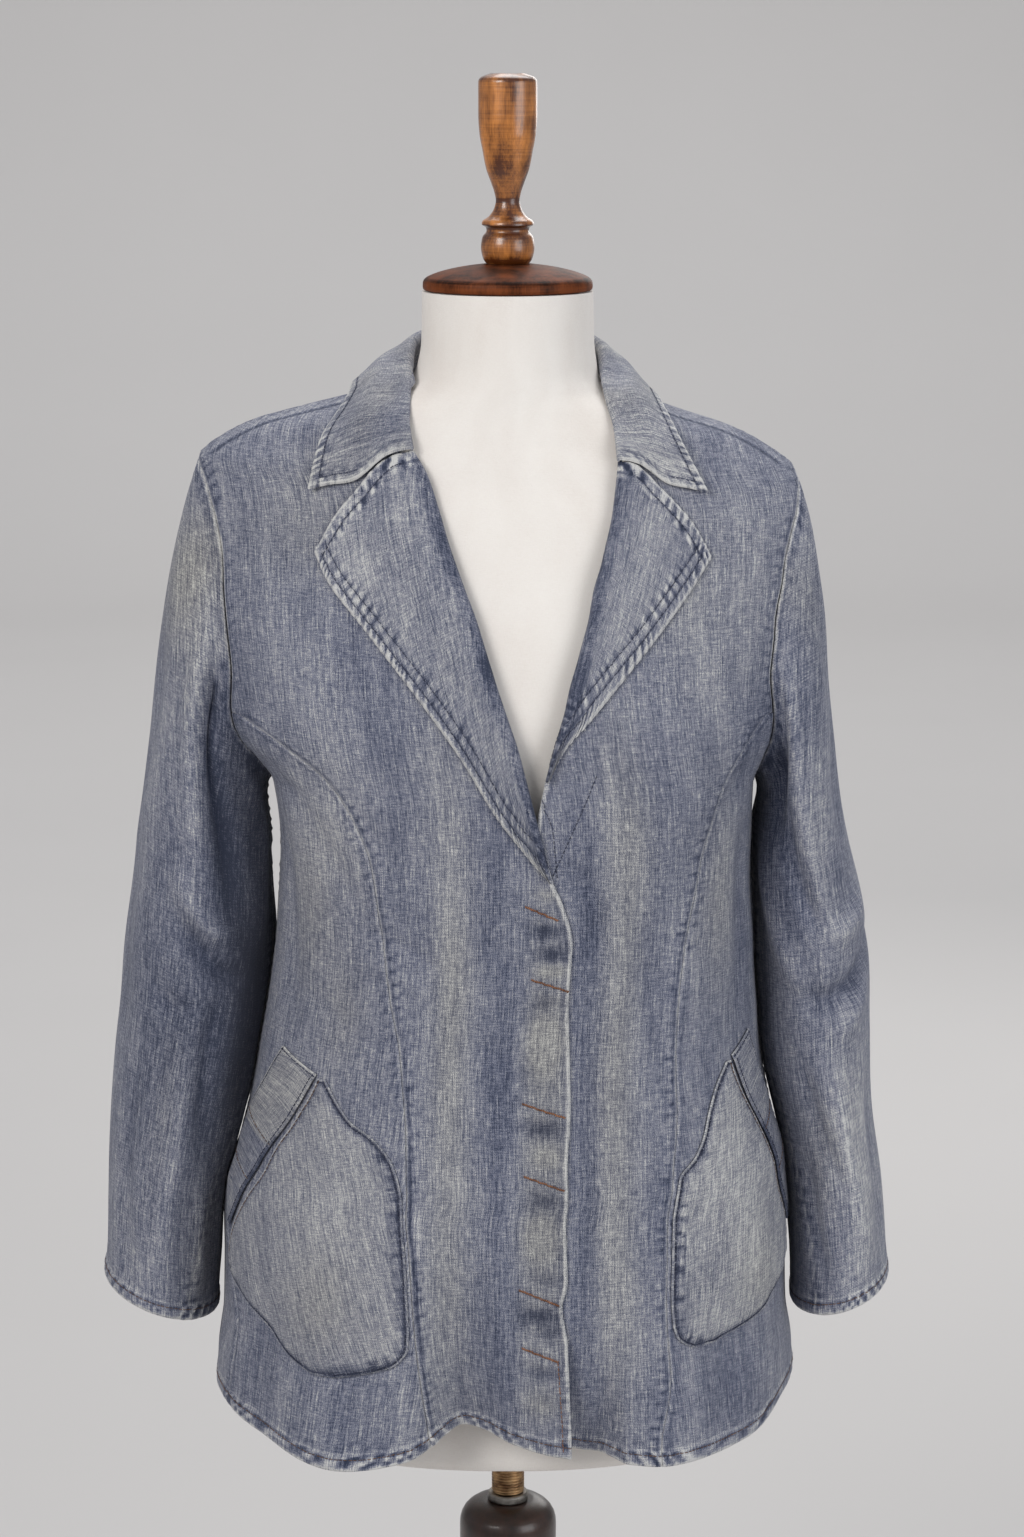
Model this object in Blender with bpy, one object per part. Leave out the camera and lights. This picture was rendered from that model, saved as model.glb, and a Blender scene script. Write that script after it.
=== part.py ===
"""A denim blazer worn on a limbless dress form that stands on a round base.

Metres, +Z up, the jacket faces -Y. The origin is the centre of the underside of
the base. "Right" and "left" are the wearer's, so the right front is at -X.

Every piece of the body is cut from one surface. A point of it has a turn, the
angle in degrees about the upright axis, 0 at the front and 90 at +X, and a
height. A piece is a patch of that surface between two edges, with its wall
grown inward. What lies on a panel uses the panel's surface, moved out.
"""

import bpy
import numpy as np

WALL = 0.0015          # denim with its turnings
FACED_WALL = 0.0022    # collar and lapels, two layers
GAP = 0.0004           # between two pieces at a seam
LIE = 0.0019           # under a patch pocket
BAND_LIE = 0.0013      # under the band beside it
STEP = 0.0004          # small move that a slope is measured with

BACK_COLUMNS = 16
FRONT_COLUMNS = 6
SIDE_COLUMNS = 9
SLEEVE_CAP_ROWS = 6
LAPEL_COLUMNS = 4
LAPEL_ROWS = 13
POCKET_COLUMNS = 7
POCKET_ROW = 0.009      # least distance between two rows of a pocket
POCKET_FULLNESS = 0.0012 # how far a pocket stands off in its middle
BAND_ROWS = 11

UNDERARM = 1.150       # height of the lowest point of the armhole
SHOULDER_TIP = 1.3735
NECK_POINT = 1.427
PRINCESS_TOP = 1.203
SHOULDER_SEAM_Y = -0.004

# Heights of the panels' rows of points.
FLAT_ABOVE = 0.800       # rows above this are level, those below follow the hem
HEM_ROW = 0.695
SKIRT_ROWS = (HEM_ROW, 0.722, 0.755, 0.790, 0.820, 0.850, 0.880, 0.912, 0.950,
              0.994, 1.040, 1.095, UNDERARM)
CHEST_ROWS = (1.154, 1.166, 1.183, PRINCESS_TOP, 1.235, 1.264, 1.300, 1.335, 1.360, 1.368, SHOULDER_TIP)
SHOULDER_ROWS = (1.3845, 1.398, 1.4063, 1.4144, 1.421, NECK_POINT)


def table(names, rows):
    """Rows of numbers as a dictionary of columns."""
    return dict(zip(names.split(), np.array(rows, dtype=float).T))


# Sections of the worn jacket, outer face. Above the underarm the half width is
# that of the whole shoulder, and the armhole cuts it. The last two columns say how
# square the front and the back half are: 2 is an ellipse.
BODY = table("height half_width front back centre_x front_square back_square", [
    (0.680, 0.2120, 0.1720, 0.1660, -0.0040, 2.30, 2.30),
    (0.725, 0.2115, 0.1700, 0.1630, -0.0030, 2.30, 2.30),
    (0.760, 0.2070, 0.1670, 0.1580, -0.0030, 2.30, 2.30),
    (0.824, 0.2050, 0.1600, 0.1500, -0.0025, 2.30, 2.30),
    (0.854, 0.2020, 0.1550, 0.1450, -0.0020, 2.30, 2.30),
    (0.880, 0.1967, 0.1510, 0.1380, 0.0010, 2.30, 2.30),
    (0.910, 0.1887, 0.1470, 0.1310, 0.0010, 2.30, 2.30),
    (0.946, 0.1815, 0.1430, 0.1240, 0.0010, 2.30, 2.30),
    (0.994, 0.1750, 0.1390, 0.1170, 0.0035, 2.30, 2.30),
    (1.040, 0.1712, 0.1380, 0.1150, 0.0057, 2.30, 2.40),
    (1.100, 0.1680, 0.1410, 0.1170, 0.0055, 2.45, 2.75),
    (1.150, 0.1710, 0.1420, 0.1210, 0.0040, 2.70, 3.00),
    (1.166, 0.1800, 0.1410, 0.1230, 0.0020, 2.60, 2.75),
    (1.183, 0.1945, 0.1400, 0.1240, -0.0010, 2.45, 2.50),
    (1.200, 0.2040, 0.1380, 0.1250, -0.0030, 2.35, 2.35),
    (1.235, 0.2100, 0.1300, 0.1250, -0.0050, 2.30, 2.30),
    (1.264, 0.2160, 0.1210, 0.1230, -0.0050, 2.30, 2.30),
    (1.300, 0.2210, 0.1080, 0.1190, -0.0030, 2.30, 2.30),
    (1.340, 0.2210, 0.0910, 0.1100, -0.0020, 2.30, 2.30),
    (1.360, 0.2165, 0.0820, 0.1030, -0.0040, 2.30, 2.30),
    (1.3735, 0.2080, 0.0765, 0.0980, -0.0080, 2.30, 2.30),
    (1.3845, 0.1940, 0.0705, 0.0920, -0.0090, 2.30, 2.30),
    (1.398, 0.1680, 0.0650, 0.0850, -0.0090, 2.30, 2.30),
    (1.4063, 0.1400, 0.0625, 0.0810, -0.0090, 2.30, 2.30),
    (1.4144, 0.1120, 0.0605, 0.0770, -0.0070, 2.30, 2.30),
    (1.421, 0.0900, 0.0590, 0.0730, -0.0040, 2.30, 2.30),
    (1.427, 0.0740, 0.0575, 0.0700, -0.0010, 2.30, 2.30),
])

# The hem all round: its height, how far a flare (+) or a fold (-) moves it out,
# and the height where that flare or fold has died away.
HEM = table("turn height out reach", [
    (-180, 0.690, 0.004, 0.82),
    (-152, 0.693, -0.010, 0.84),
    (-125, 0.697, 0.008, 0.86),
    (-100, 0.701, -0.003, 0.85),
    (-75, 0.703, 0.000, 0.85),
    (-55, 0.697, 0.008, 0.90),
    (-35, 0.686, 0.018, 0.92),
    (-21.5, 0.6925, 0.005, 0.90),
    (-11.3, 0.7085, -0.030, 0.85),
    (-4.5, 0.7076, -0.022, 0.84),
    (3, 0.7020, -0.010, 0.82),
    (12, 0.6965, 0.000, 0.82),
    (25, 0.6900, 0.002, 0.82),
    (36, 0.6870, 0.012, 0.86),
    (56, 0.6900, 0.004, 0.86),
    (75, 0.7030, 0.000, 0.85),
    (100, 0.7030, 0.002, 0.85),
    (127, 0.6960, -0.009, 0.84),
    (153, 0.6920, 0.008, 0.86),
    (180, 0.6900, 0.004, 0.82),
])
HEM_FADE = 1.6

# Depth of the armhole seam before (-Y) and behind (+Y) the shoulder line.
ARMHOLE = table("height front_y back_y", [
    (1.150, 0.000, 0.000),
    (1.154, -0.020, 0.020),
    (1.166, -0.045, 0.046),
    (1.183, -0.058, 0.062),
    (1.203, -0.065, 0.072),
    (1.235, -0.069, 0.078),
    (1.264, -0.067, 0.078),
    (1.300, -0.060, 0.072),
    (1.335, -0.046, 0.058),
    (1.360, -0.029, 0.038),
    (1.368, -0.018, 0.020),
    (1.3735, -0.004, -0.004),
])

# Turn of the seams and edges that run down the body.
SIDE_SEAM = table("height right left", [
    (0.680, -70.0, 98.0),
    (0.730, -66.5, 97.0),
    (0.757, -66.5, 96.5),
    (0.790, -71.5, 96.0),
    (0.810, -75.0, 95.5),
    (0.860, -81.5, 94.0),
    (0.900, -85.5, 93.0),
    (0.950, -88.0, 91.5),
    (1.000, -90.0, 90.0),
    (1.150, -90.0, 90.0),
])
PRINCESS_SEAM = table("height right left", [
    (0.680, -17.3, 33.8),
    (0.710, -18.0, 34.2),
    (0.755, -19.8, 37.5),
    (0.785, -21.0, 37.6),
    (0.835, -23.1, 39.1),
    (0.876, -25.9, 41.0),
    (0.934, -27.9, 44.5),
    (0.970, -30.1, 45.2),
    (1.017, -34.7, 45.7),
    (1.061, -37.2, 48.0),
    (1.110, -38.8, 51.6),
    (1.150, -44.4, 55.8),
    (1.175, -52.0, 60.4),
    (1.192, -60.5, 64.5),
    (1.203, -68.0, 68.0),
])
RIGHT_FRONT_EDGE = table("height turn", [
    (0.680, 16.1),
    (0.737, 15.5),
    (0.776, 15.3),
    (0.802, 14.2),
    (0.820, 15.6),
    (0.890, 15.4),
    (0.9455, 16.9),
    (1.0226, 15.4),
    (1.0544, 16.0),
    (1.083, 13.1),
    (1.0996, 10.3),
    (1.129, 8.3),
    (1.151, 6.4),
    (1.190, 3.7),
    (1.216, 1.3),
    (1.265, -6.8),
    (1.293, -11.5),
    (1.325, -21.0),
    (1.372, -31.5),
    (1.3846, -39.0),
    (1.402, -45.5),
    (1.4144, -54.5),
    (1.427, -66.0),
])
LEFT_FRONT_EDGE = table("height turn", [
    (0.680, 3.0),
    (1.090, 3.3),
    (1.120, 5.0),
    (1.148, 6.9),
    (1.169, 9.7),
    (1.190, 13.0),
    (1.215, 17.6),
    (1.253, 23.6),
    (1.292, 29.8),
    (1.360, 44.5),
    (1.384, 52.1),
    (1.427, 68.0),
])

# The left front lies under the right one, and its hem folds deeper there.
UNDER_DEPTH = 0.0026
UNDER_FOLD = 0.024
UNDER_FOLD_TOP = 0.800
UNDER_TURNS = (23.0, 28.0)      # where the under lap comes back to the surface
UNDER_TOP = (1.160, 1.200)

# Lapels: the roll line and the outer edge, the top side between them.
RIGHT_LAPEL = table("share roll_x roll_z edge_x edge_z", [
    (0.00, -0.0642, 1.3846, -0.1315, 1.3173),
    (0.10, -0.0545, 1.3690, -0.1235, 1.3010),
    (0.30, -0.0398, 1.3250, -0.0920, 1.2631),
    (0.47, -0.0222, 1.2790, -0.0640, 1.2290),
    (0.64, -0.0050, 1.2270, -0.0322, 1.1862),
    (0.80, 0.0100, 1.1800, -0.0074, 1.1455),
    (1.00, 0.0305, 1.0985, 0.0265, 1.1015),
])
RIGHT_GORGE = table("share x z", [
    (0.00, -0.0642, 1.3846),
    (0.17, -0.0785, 1.3805),
    (0.32, -0.0907, 1.3725),
    (0.50, -0.1016, 1.3594),
    (0.72, -0.1166, 1.3420),
    (1.00, -0.1315, 1.3173),
])
LEFT_LAPEL = table("share roll_x roll_z edge_x edge_z", [
    (0.00, 0.0752, 1.3777, 0.1398, 1.3168),
    (0.10, 0.0735, 1.3600, 0.1310, 1.3030),
    (0.30, 0.0640, 1.3160, 0.1060, 1.2690),
    (0.50, 0.0520, 1.2660, 0.0816, 1.2401),
    (0.70, 0.0400, 1.2210, 0.0558, 1.2099),
    (0.85, 0.0312, 1.1920, 0.0375, 1.1890),
    (1.00, 0.0256, 1.1692, 0.0290, 1.1710),
])
LEFT_GORGE = table("share x z", [
    (0.00, 0.0752, 1.3777),
    (0.17, 0.0886, 1.3745),
    (0.32, 0.1029, 1.3635),
    (0.50, 0.1130, 1.3540),
    (0.72, 0.1260, 1.3400),
    (1.00, 0.1398, 1.3168),
])
LAPEL_CLEAR = 0.0010     # under the lapel at its outer edge
LAPEL_ROLL = 0.0035      # how far it stands off where it rolls

# Collar, from the right gorge round the back of the neck to the left one: its
# seam on the neck edge, the fold at the top of the stand, and its outer edge.
COLLAR = table("share seam_turn seam_height fold_x fold_y fold_z edge_x edge_y edge_z sag", [
    (0.00, -39.6, 1.3862, -0.0655, -0.0735, 1.3876, -0.1367, -0.0755, 1.3590, 0.0125),
    (0.10, -45.6, 1.4030, -0.0680, -0.0610, 1.4070, -0.1285, -0.0630, 1.3920, 0.0),
    (0.18, -52.8, 1.4144, -0.0678, -0.0430, 1.4245, -0.1158, -0.0400, 1.4110, 0.0),
    (0.24, -62.0, NECK_POINT, -0.0670, -0.0250, 1.4360, -0.1105, -0.0125, 1.4195, 0.0),
    (0.30, -76.0, NECK_POINT, -0.0665, -0.0060, 1.4460, -0.1100, 0.0150, 1.4225, 0.0),
    (0.36, -95.0, NECK_POINT, -0.0655, 0.0180, 1.4550, -0.1020, 0.0480, 1.4190, 0.0),
    (0.43, -135.0, NECK_POINT, -0.0450, 0.0570, 1.4620, -0.0720, 0.0800, 1.4150, 0.0),
    (0.50, -180.0, NECK_POINT, 0.0000, 0.0730, 1.4650, 0.0000, 0.0960, 1.4130, 0.0),
    (0.57, -225.0, NECK_POINT, 0.0450, 0.0570, 1.4600, 0.0720, 0.0800, 1.4150, 0.0),
    (0.64, -265.0, NECK_POINT, 0.0645, 0.0180, 1.4500, 0.1000, 0.0480, 1.4180, 0.0),
    (0.70, -281.0, NECK_POINT, 0.0650, -0.0060, 1.4410, 0.1045, 0.0150, 1.4190, 0.0),
    (0.76, -292.0, NECK_POINT, 0.0660, -0.0250, 1.4320, 0.1065, -0.0115, 1.4175, 0.0),
    (0.82, -296.7, 1.4144, 0.0685, -0.0430, 1.4210, 0.1105, -0.0380, 1.4115, 0.0),
    (0.90, -302.0, 1.4010, 0.0735, -0.0590, 1.4040, 0.1180, -0.0580, 1.3970, 0.0),
    (1.00, -308.8, 1.3822, 0.0760, -0.0725, 1.3840, 0.1374, -0.0735, 1.3610, 0.0100),
])
COLLAR_MARKS = (0.0, 0.16, 0.30, 0.38, 0.52, 0.68, 0.84, 1.0)     # its rows, from seam to edge
COLLAR_SEAM = 0.0028       # from the panels' neck edge to the collar's first row
COLLAR_ROUND = (0.0012, 0.20, 0.0035)     # radius of the fold: least, share of the stand, most
COLLAR_BULGE = 0.006       # fullness of the fall
COLLAR_FORWARD = 0.15      # how far forward its ends come for each part of their sag

# Patch pockets: the turn of the edge toward the side and toward the front.
RIGHT_POCKET = table("height side front", [
    (0.9502, -51.5, -49.3),
    (0.9363, -53.5, -45.6),
    (0.9240, -55.8, -41.4),
    (0.9150, -57.3, -35.5),
    (0.8984, -60.6, -30.0),
    (0.8722, -64.0, -26.8),
    (0.8216, -72.6, -23.4),
    (0.8060, -73.6, -22.9),
    (0.7949, -71.0, -22.5),
    (0.7850, -64.0, -22.2),
    (0.7740, -57.0, -22.2),
    (0.7620, -50.5, -24.5),
    (0.7550, -46.0, -30.0),
    (0.7500, -41.5, -36.5),
])
LEFT_POCKET = table("height side front", [
    (0.9575, 61.6, 60.0),
    (0.9424, 63.4, 55.8),
    (0.9263, 66.0, 52.8),
    (0.9098, 68.8, 50.4),
    (0.8974, 70.3, 47.5),
    (0.8850, 71.6, 43.0),
    (0.8483, 76.0, 40.8),
    (0.8216, 79.5, 39.6),
    (0.8060, 79.5, 39.0),
    (0.7950, 76.0, 38.8),
    (0.7861, 68.0, 38.8),
    (0.7760, 60.5, 39.4),
    (0.7700, 54.0, 41.0),
    (0.7660, 49.0, 43.5),
])
# The band beside each slanted opening: its inner and its outer edge.
RIGHT_BAND = table("share inner_turn inner_z outer_turn outer_z", [
    (0.00, -52.2, 0.9530, -65.2, 0.9653),
    (0.25, -58.2, 0.9190, -71.5, 0.9380),
    (0.50, -63.4, 0.8930, -79.0, 0.9028),
    (0.75, -69.5, 0.8540, -79.8, 0.8654),
    (1.00, -73.7, 0.8290, -76.6, 0.8340),
])
LEFT_BAND = table("share inner_turn inner_z outer_turn outer_z", [
    (0.00, 62.4, 0.9610, 71.5, 0.9730),
    (0.25, 66.6, 0.9290, 77.0, 0.9430),
    (0.50, 70.8, 0.9020, 82.0, 0.9130),
    (0.75, 75.6, 0.8600, 85.0, 0.8720),
    (1.00, 80.4, 0.8250, 84.5, 0.8330),
])

# Sleeves below the biceps, as level oval sections, and the slope of the hem.
RIGHT_SLEEVE = table("height centre_x centre_y half_width half_depth", [
    (0.740, -0.2545, -0.0140, 0.0412, 0.0630),
    (0.800, -0.2525, -0.0100, 0.0403, 0.0650),
    (0.840, -0.2503, -0.0060, 0.0415, 0.0670),
    (0.904, -0.2405, 0.0020, 0.0483, 0.0700),
    (0.980, -0.2288, 0.0110, 0.0533, 0.0720),
    (1.0165, -0.2256, 0.0130, 0.0537, 0.0730),
    (1.100, -0.2192, 0.0120, 0.0484, 0.0740),
])
LEFT_SLEEVE = table("height centre_x centre_y half_width half_depth", [
    (0.740, 0.2445, -0.0040, 0.0355, 0.0640),
    (0.800, 0.2424, 0.0000, 0.0345, 0.0660),
    (0.846, 0.2392, 0.0060, 0.0343, 0.0690),
    (0.888, 0.2337, 0.0110, 0.0338, 0.0710),
    (0.948, 0.2255, 0.0160, 0.0393, 0.0735),
    (1.0165, 0.2219, 0.0190, 0.0402, 0.0750),
    (1.100, 0.2113, 0.0160, 0.0342, 0.0755),
])
SLEEVE_ROWS = (1.050, 1.000, 0.950, 0.904, 0.865, 0.830, 0.795)
RIGHT_CUFF = (0.7672, 0.355)     # height at the section's centre, rise outward
LEFT_CUFF = (0.7660, 0.330)

# Way the sleeve leaves the armhole, from the underarm (0) to the shoulder (1).
SLEEVE_HEAD = table("share outward forward down leave arrive", [
    (0.00, 0.65, 0.00, 0.76, 0.045, 0.050),
    (0.20, 0.85, 0.12, 0.50, 0.055, 0.070),
    (0.45, 0.95, 0.22, 0.20, 0.085, 0.120),
    (0.72, 0.80, 0.16, 0.52, 0.110, 0.200),
    (1.00, 0.30, 0.00, 0.95, 0.200, 0.277),
])
RIGHT_HEAD, LEFT_HEAD = 1.0, 0.72      # how full the sleeve's head is
SLEEVE_SEAM = 0.0004
MITRE = (0.60, 0.85)             # the sleeve's edge follows the panels' edge from here up

# The dress form under the jacket, and its stand.
FORM = table("height half_width front back squareness", [
    (0.6565, 0.1480, 0.0980, 0.1040, 2.3),
    (0.6600, 0.1560, 0.1060, 0.1120, 2.3),
    (0.6690, 0.1610, 0.1095, 0.1150, 2.3),
    (0.7100, 0.1635, 0.1110, 0.1180, 2.3),
    (0.7800, 0.1660, 0.1120, 0.1200, 2.3),
    (0.8600, 0.1580, 0.1070, 0.1140, 2.3),
    (0.9400, 0.1360, 0.1000, 0.0980, 2.3),
    (1.0200, 0.1240, 0.0990, 0.0900, 2.3),
    (1.0800, 0.1310, 0.1110, 0.0900, 2.3),
    (1.1400, 0.1420, 0.1260, 0.0950, 2.3),
    (1.1900, 0.1480, 0.1270, 0.1010, 2.3),
    (1.2400, 0.1500, 0.1180, 0.1040, 2.3),
    (1.2800, 0.1560, 0.1060, 0.1040, 2.3),
    (1.3200, 0.1680, 0.0920, 0.1000, 2.3),
    (1.3450, 0.1780, 0.0830, 0.0950, 2.3),
    (1.3620, 0.1810, 0.0750, 0.0890, 2.3),
    (1.3760, 0.1765, 0.0700, 0.0860, 2.3),
    (1.3870, 0.1700, 0.0655, 0.0840, 2.3),
    (1.3960, 0.1620, 0.0625, 0.0820, 2.3),
    (1.4042, 0.1380, 0.0600, 0.0785, 2.3),
    (1.4122, 0.1110, 0.0583, 0.0745, 2.3),
    (1.4184, 0.0885, 0.0568, 0.0700, 2.25),
    (1.4244, 0.0722, 0.0560, 0.0660, 2.2),
    (1.4310, 0.0655, 0.0568, 0.0636, 2.1),
    (1.4400, 0.0628, 0.0582, 0.0620, 2.0),
    (1.4550, 0.0606, 0.0590, 0.0603, 2.0),
    (1.4905, 0.0597, 0.0595, 0.0597, 2.0),
])
FORM_SIDES = 36
SHOULDER_DROP = 0.018       # the left shoulder hangs lower than the right
DROP_STARTS = (1.25, 1.37)
DROP_ENDS = (1.43, 1.46)

NECK_CAP = table("radius height", [
    (0.0570, 1.4909), (0.0588, 1.4918), (0.0594, 1.4935), (0.0592, 1.4968),
    (0.0580, 1.4990), (0.0520, 1.5022), (0.0420, 1.5052), (0.0300, 1.5076), (0.0175, 1.5093),
])
FINIAL = table("radius height", [
    (0.0150, 1.5096), (0.0172, 1.5130), (0.0187, 1.5208), (0.0176, 1.5280),
    (0.0148, 1.5322), (0.0152, 1.5345), (0.0182, 1.5366), (0.0180, 1.5380),
    (0.0120, 1.5420), (0.0090, 1.5470), (0.0083, 1.5530), (0.0088, 1.5590),
    (0.0106, 1.5655), (0.0146, 1.5755), (0.0175, 1.5873), (0.0196, 1.5990),
    (0.0204, 1.6120), (0.0204, 1.6270), (0.0198, 1.6340), (0.0180, 1.6378),
    (0.0120, 1.6398),
])
ROD_RADIUS = 0.0122
FERRULE_RADIUS = 0.0150
FERRULE_HEIGHT = 0.0060
COLUMN = table("radius height", [
    (0.0220, 0.0390), (0.0245, 0.0450), (0.0260, 0.0600), (0.0205, 0.0760), (0.0190, 0.1000),
    (0.0175, 0.2800), (0.0190, 0.4550), (0.0225, 0.4700), (0.0225, 0.4760), (0.0205, 0.4810),
    (0.0230, 0.4950), (0.0315, 0.5180), (0.0355, 0.5400), (0.0359, 0.5776), (0.0346, 0.5842),
    (0.0309, 0.5898), (0.0253, 0.5935), (0.0187, 0.5948),
])
BASE_PROFILE = table("radius height", [
    (0.1840, 0.0000), (0.1900, 0.0060), (0.1900, 0.0160), (0.1850, 0.0210),
    (0.1500, 0.0240), (0.0600, 0.0270), (0.0380, 0.0310), (0.0320, 0.0360), (0.0300, 0.0386),
])
TURNED_SIDES = 28

# Finishes: colour, roughness and, for a metal, metallic.
DENIM = ((0.21, 0.24, 0.33), 0.88)
PALE_DENIM = ((0.27, 0.29, 0.36), 0.88)
COTTON = ((0.78, 0.72, 0.66), 0.80)
GOLDEN_WOOD = ((0.30, 0.12, 0.03), 0.35)
DARK_WOOD = ((0.10, 0.04, 0.02), 0.45)
BLACK_WOOD = ((0.012, 0.009, 0.008), 0.30)
BRASS = ((0.42, 0.26, 0.12), 0.35, 1.0)
STEEL = ((0.30, 0.27, 0.24), 0.40, 1.0)


# ---------------------------------------------------------------- arithmetic

def smooth(columns, name, at, key=None):
    """A column read between its rows on a curve that never overshoots."""
    xs = columns[key] if key else next(iter(columns.values()))
    ys = columns[name]
    width = np.diff(xs)
    slope = np.diff(ys) / width
    tangent = np.zeros_like(ys)
    tangent[0], tangent[-1] = slope[0], slope[-1]
    same = slope[:-1] * slope[1:] > 0
    before = 2 * width[1:] + width[:-1]
    after = width[1:] + 2 * width[:-1]
    safe_a = np.where(same, slope[:-1], 1.0)
    safe_b = np.where(same, slope[1:], 1.0)
    tangent[1:-1] = np.where(same, (before + after) / (before / safe_a + after / safe_b), 0.0)
    at = np.asarray(at, dtype=float)
    i = np.clip(np.searchsorted(xs, at) - 1, 0, len(xs) - 2)
    t = np.clip((at - xs[i]) / width[i], 0.0, 1.0)
    return (ys[i] * (1 + 2 * t) * (1 - t) ** 2 + tangent[i] * width[i] * t * (1 - t) ** 2
            + ys[i + 1] * t * t * (3 - 2 * t) + tangent[i + 1] * width[i] * t * t * (t - 1))


def ease(low, high, at):
    """0 below low, 1 above high, and smooth between."""
    t = np.clip((np.asarray(at, dtype=float) - low) / (high - low), 0.0, 1.0)
    return t * t * (3 - 2 * t)


def unit(vectors):
    return vectors / np.maximum(np.linalg.norm(vectors, axis=-1, keepdims=True), 1e-12)


def mix(a, b, share):
    return a + (b - a) * share


def settle(points):
    """Lower one shoulder: points at +X go down and points at -X go up."""
    points = np.array(points, dtype=float)
    z = points[..., 2]
    weight = ease(*DROP_STARTS, z) * (1 - ease(*DROP_ENDS, z))
    points[..., 2] = z - SHOULDER_DROP * points[..., 0] * weight
    return points


# ------------------------------------------------------- surface of the body

def section(height):
    return [smooth(BODY, name, height) for name in ("half_width", "front", "back", "centre_x")]


def section_radius(turn, height):
    """Superellipse r = (|sin/a|^n + |cos/d|^n)^(-1/n), with its own d and n at the back."""
    half_width, front, back, _ = section(height)
    s, c = np.sin(np.radians(turn)), np.cos(np.radians(turn))
    depth = np.where(c > 0, front, back)
    n = np.where(c > 0, smooth(BODY, "front_square", height), smooth(BODY, "back_square", height))
    return (np.abs(s / half_width) ** n + np.abs(c / depth) ** n) ** (-1 / n)


def hem_height(turn):
    return smooth(HEM, "height", wrap(turn))


def wrap(turn):
    return (np.asarray(turn, dtype=float) + 180.0) % 360.0 - 180.0


def body_raw(turn, height):
    """The section's point at each turn and height, moved out by the hem's flares."""
    turn, height = np.broadcast_arrays(np.asarray(turn, float), np.asarray(height, float))
    centre = smooth(BODY, "centre_x", height)
    s, c = np.sin(np.radians(turn)), np.cos(np.radians(turn))
    radius = section_radius(turn, height)
    around = wrap(turn)
    reach = smooth(HEM, "reach", around)
    rise = np.clip((reach - height) / (reach - smooth(HEM, "height", around)), 0.0, 1.2)
    radius = radius + smooth(HEM, "out", around) * rise ** HEM_FADE
    return np.stack([centre + radius * s, -radius * c, height], axis=-1)


def outward(surface, u, v, step_u, step_v):
    """Unit normal of surface(u, v) that points away from the upright axis."""
    across = surface(u + step_u, v) - surface(u - step_u, v)
    along = surface(u, v + step_v) - surface(u, v - step_v)
    return unit(np.cross(across, along))


def body(turn, height, out=0.0):
    """The jacket's outer face, or a surface moved out from it."""
    turn, height = np.broadcast_arrays(np.asarray(turn, float), np.asarray(height, float))
    normal = outward(body_raw, turn, height, 0.2, STEP)
    return settle(body_raw(turn, height) + normal * np.asarray(out)[..., None])


def turn_at_depth(y, height, side):
    """Turn of the point of a section that lies at depth y, on the side -1 or +1."""
    half_width, front, back, _ = section(height)
    depth = np.where(y < 0, front, back)
    n = np.where(y < 0, smooth(BODY, "front_square", height), smooth(BODY, "back_square", height))
    x = half_width * (1 - np.clip(np.abs(y) / depth, 0, 1) ** n) ** (1 / n)
    return side * np.degrees(np.arctan2(x, -y))


def turn_at_x(x, height):
    """Turn of the point of the front half of a section at a given x."""
    half_width, front, _, centre = section(height)
    share = np.clip(np.abs((x - centre) / half_width), 0, 1)
    n = smooth(BODY, "front_square", height)
    y = front * (1 - share ** n) ** (1 / n)
    return np.degrees(np.arctan2(x - centre, y))


def outer_limit(height, side, edge):
    """Turn of the armhole, or above the tip of the shoulder seam."""
    y = np.where(height > SHOULDER_TIP, SHOULDER_SEAM_Y, smooth(ARMHOLE, edge, height))
    return turn_at_depth(y, height, side)


def arc_turn(length, turn, height):
    """The turn that a short length measured round the body makes."""
    return np.degrees(length / section_radius(turn, height))


def spread(low, high, height, columns):
    """Turns between two edges, evenly spaced along each level section."""
    fine = np.linspace(0, 1, 121)
    turn = low[:, None] + (high - low)[:, None] * fine
    points = body_raw(turn, height[:, None])
    length = np.cumsum(np.linalg.norm(np.diff(points, axis=1), axis=-1), axis=1)
    length = np.concatenate([np.zeros((len(low), 1)), length], axis=1)
    even = np.linspace(0, 1, columns + 1)
    return np.array([np.interp(even * run[-1], run, row) for run, row in zip(length, turn)])


def under_lap(turn, height):
    """How far the left front is pressed in under the right one."""
    here = (1 - ease(*UNDER_TURNS, turn)) * (1 - ease(*UNDER_TOP, height))
    hem = hem_height(turn)
    fold = np.clip((UNDER_FOLD_TOP - height) / (UNDER_FOLD_TOP - hem), 0, 1.2) ** HEM_FADE
    return -(UNDER_DEPTH + UNDER_FOLD * fold) * here


# ------------------------------------------------------------- solid walls

def finish_of(name, colour, roughness, metallic=0.0):
    """The part's own Principled material."""
    finish = bpy.data.materials.new(name)
    finish.use_nodes = True
    shader = finish.node_tree.nodes["Principled BSDF"]
    shader.inputs["Base Color"].default_value = (*colour, 1.0)
    shader.inputs["Roughness"].default_value = roughness
    shader.inputs["Metallic"].default_value = metallic
    return finish


def mesh_object(name, vertices, faces, finish, sharp_degrees=40.0):
    mesh = bpy.data.meshes.new(name)
    mesh.from_pydata([tuple(v) for v in vertices], [], faces)
    mesh.validate()
    mesh.shade_smooth()
    mesh.set_sharp_from_angle(angle=np.radians(sharp_degrees))
    mesh.materials.append(finish_of(name, *finish))
    thing = bpy.data.objects.new(name, mesh)
    bpy.context.collection.objects.link(thing)
    return thing


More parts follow.
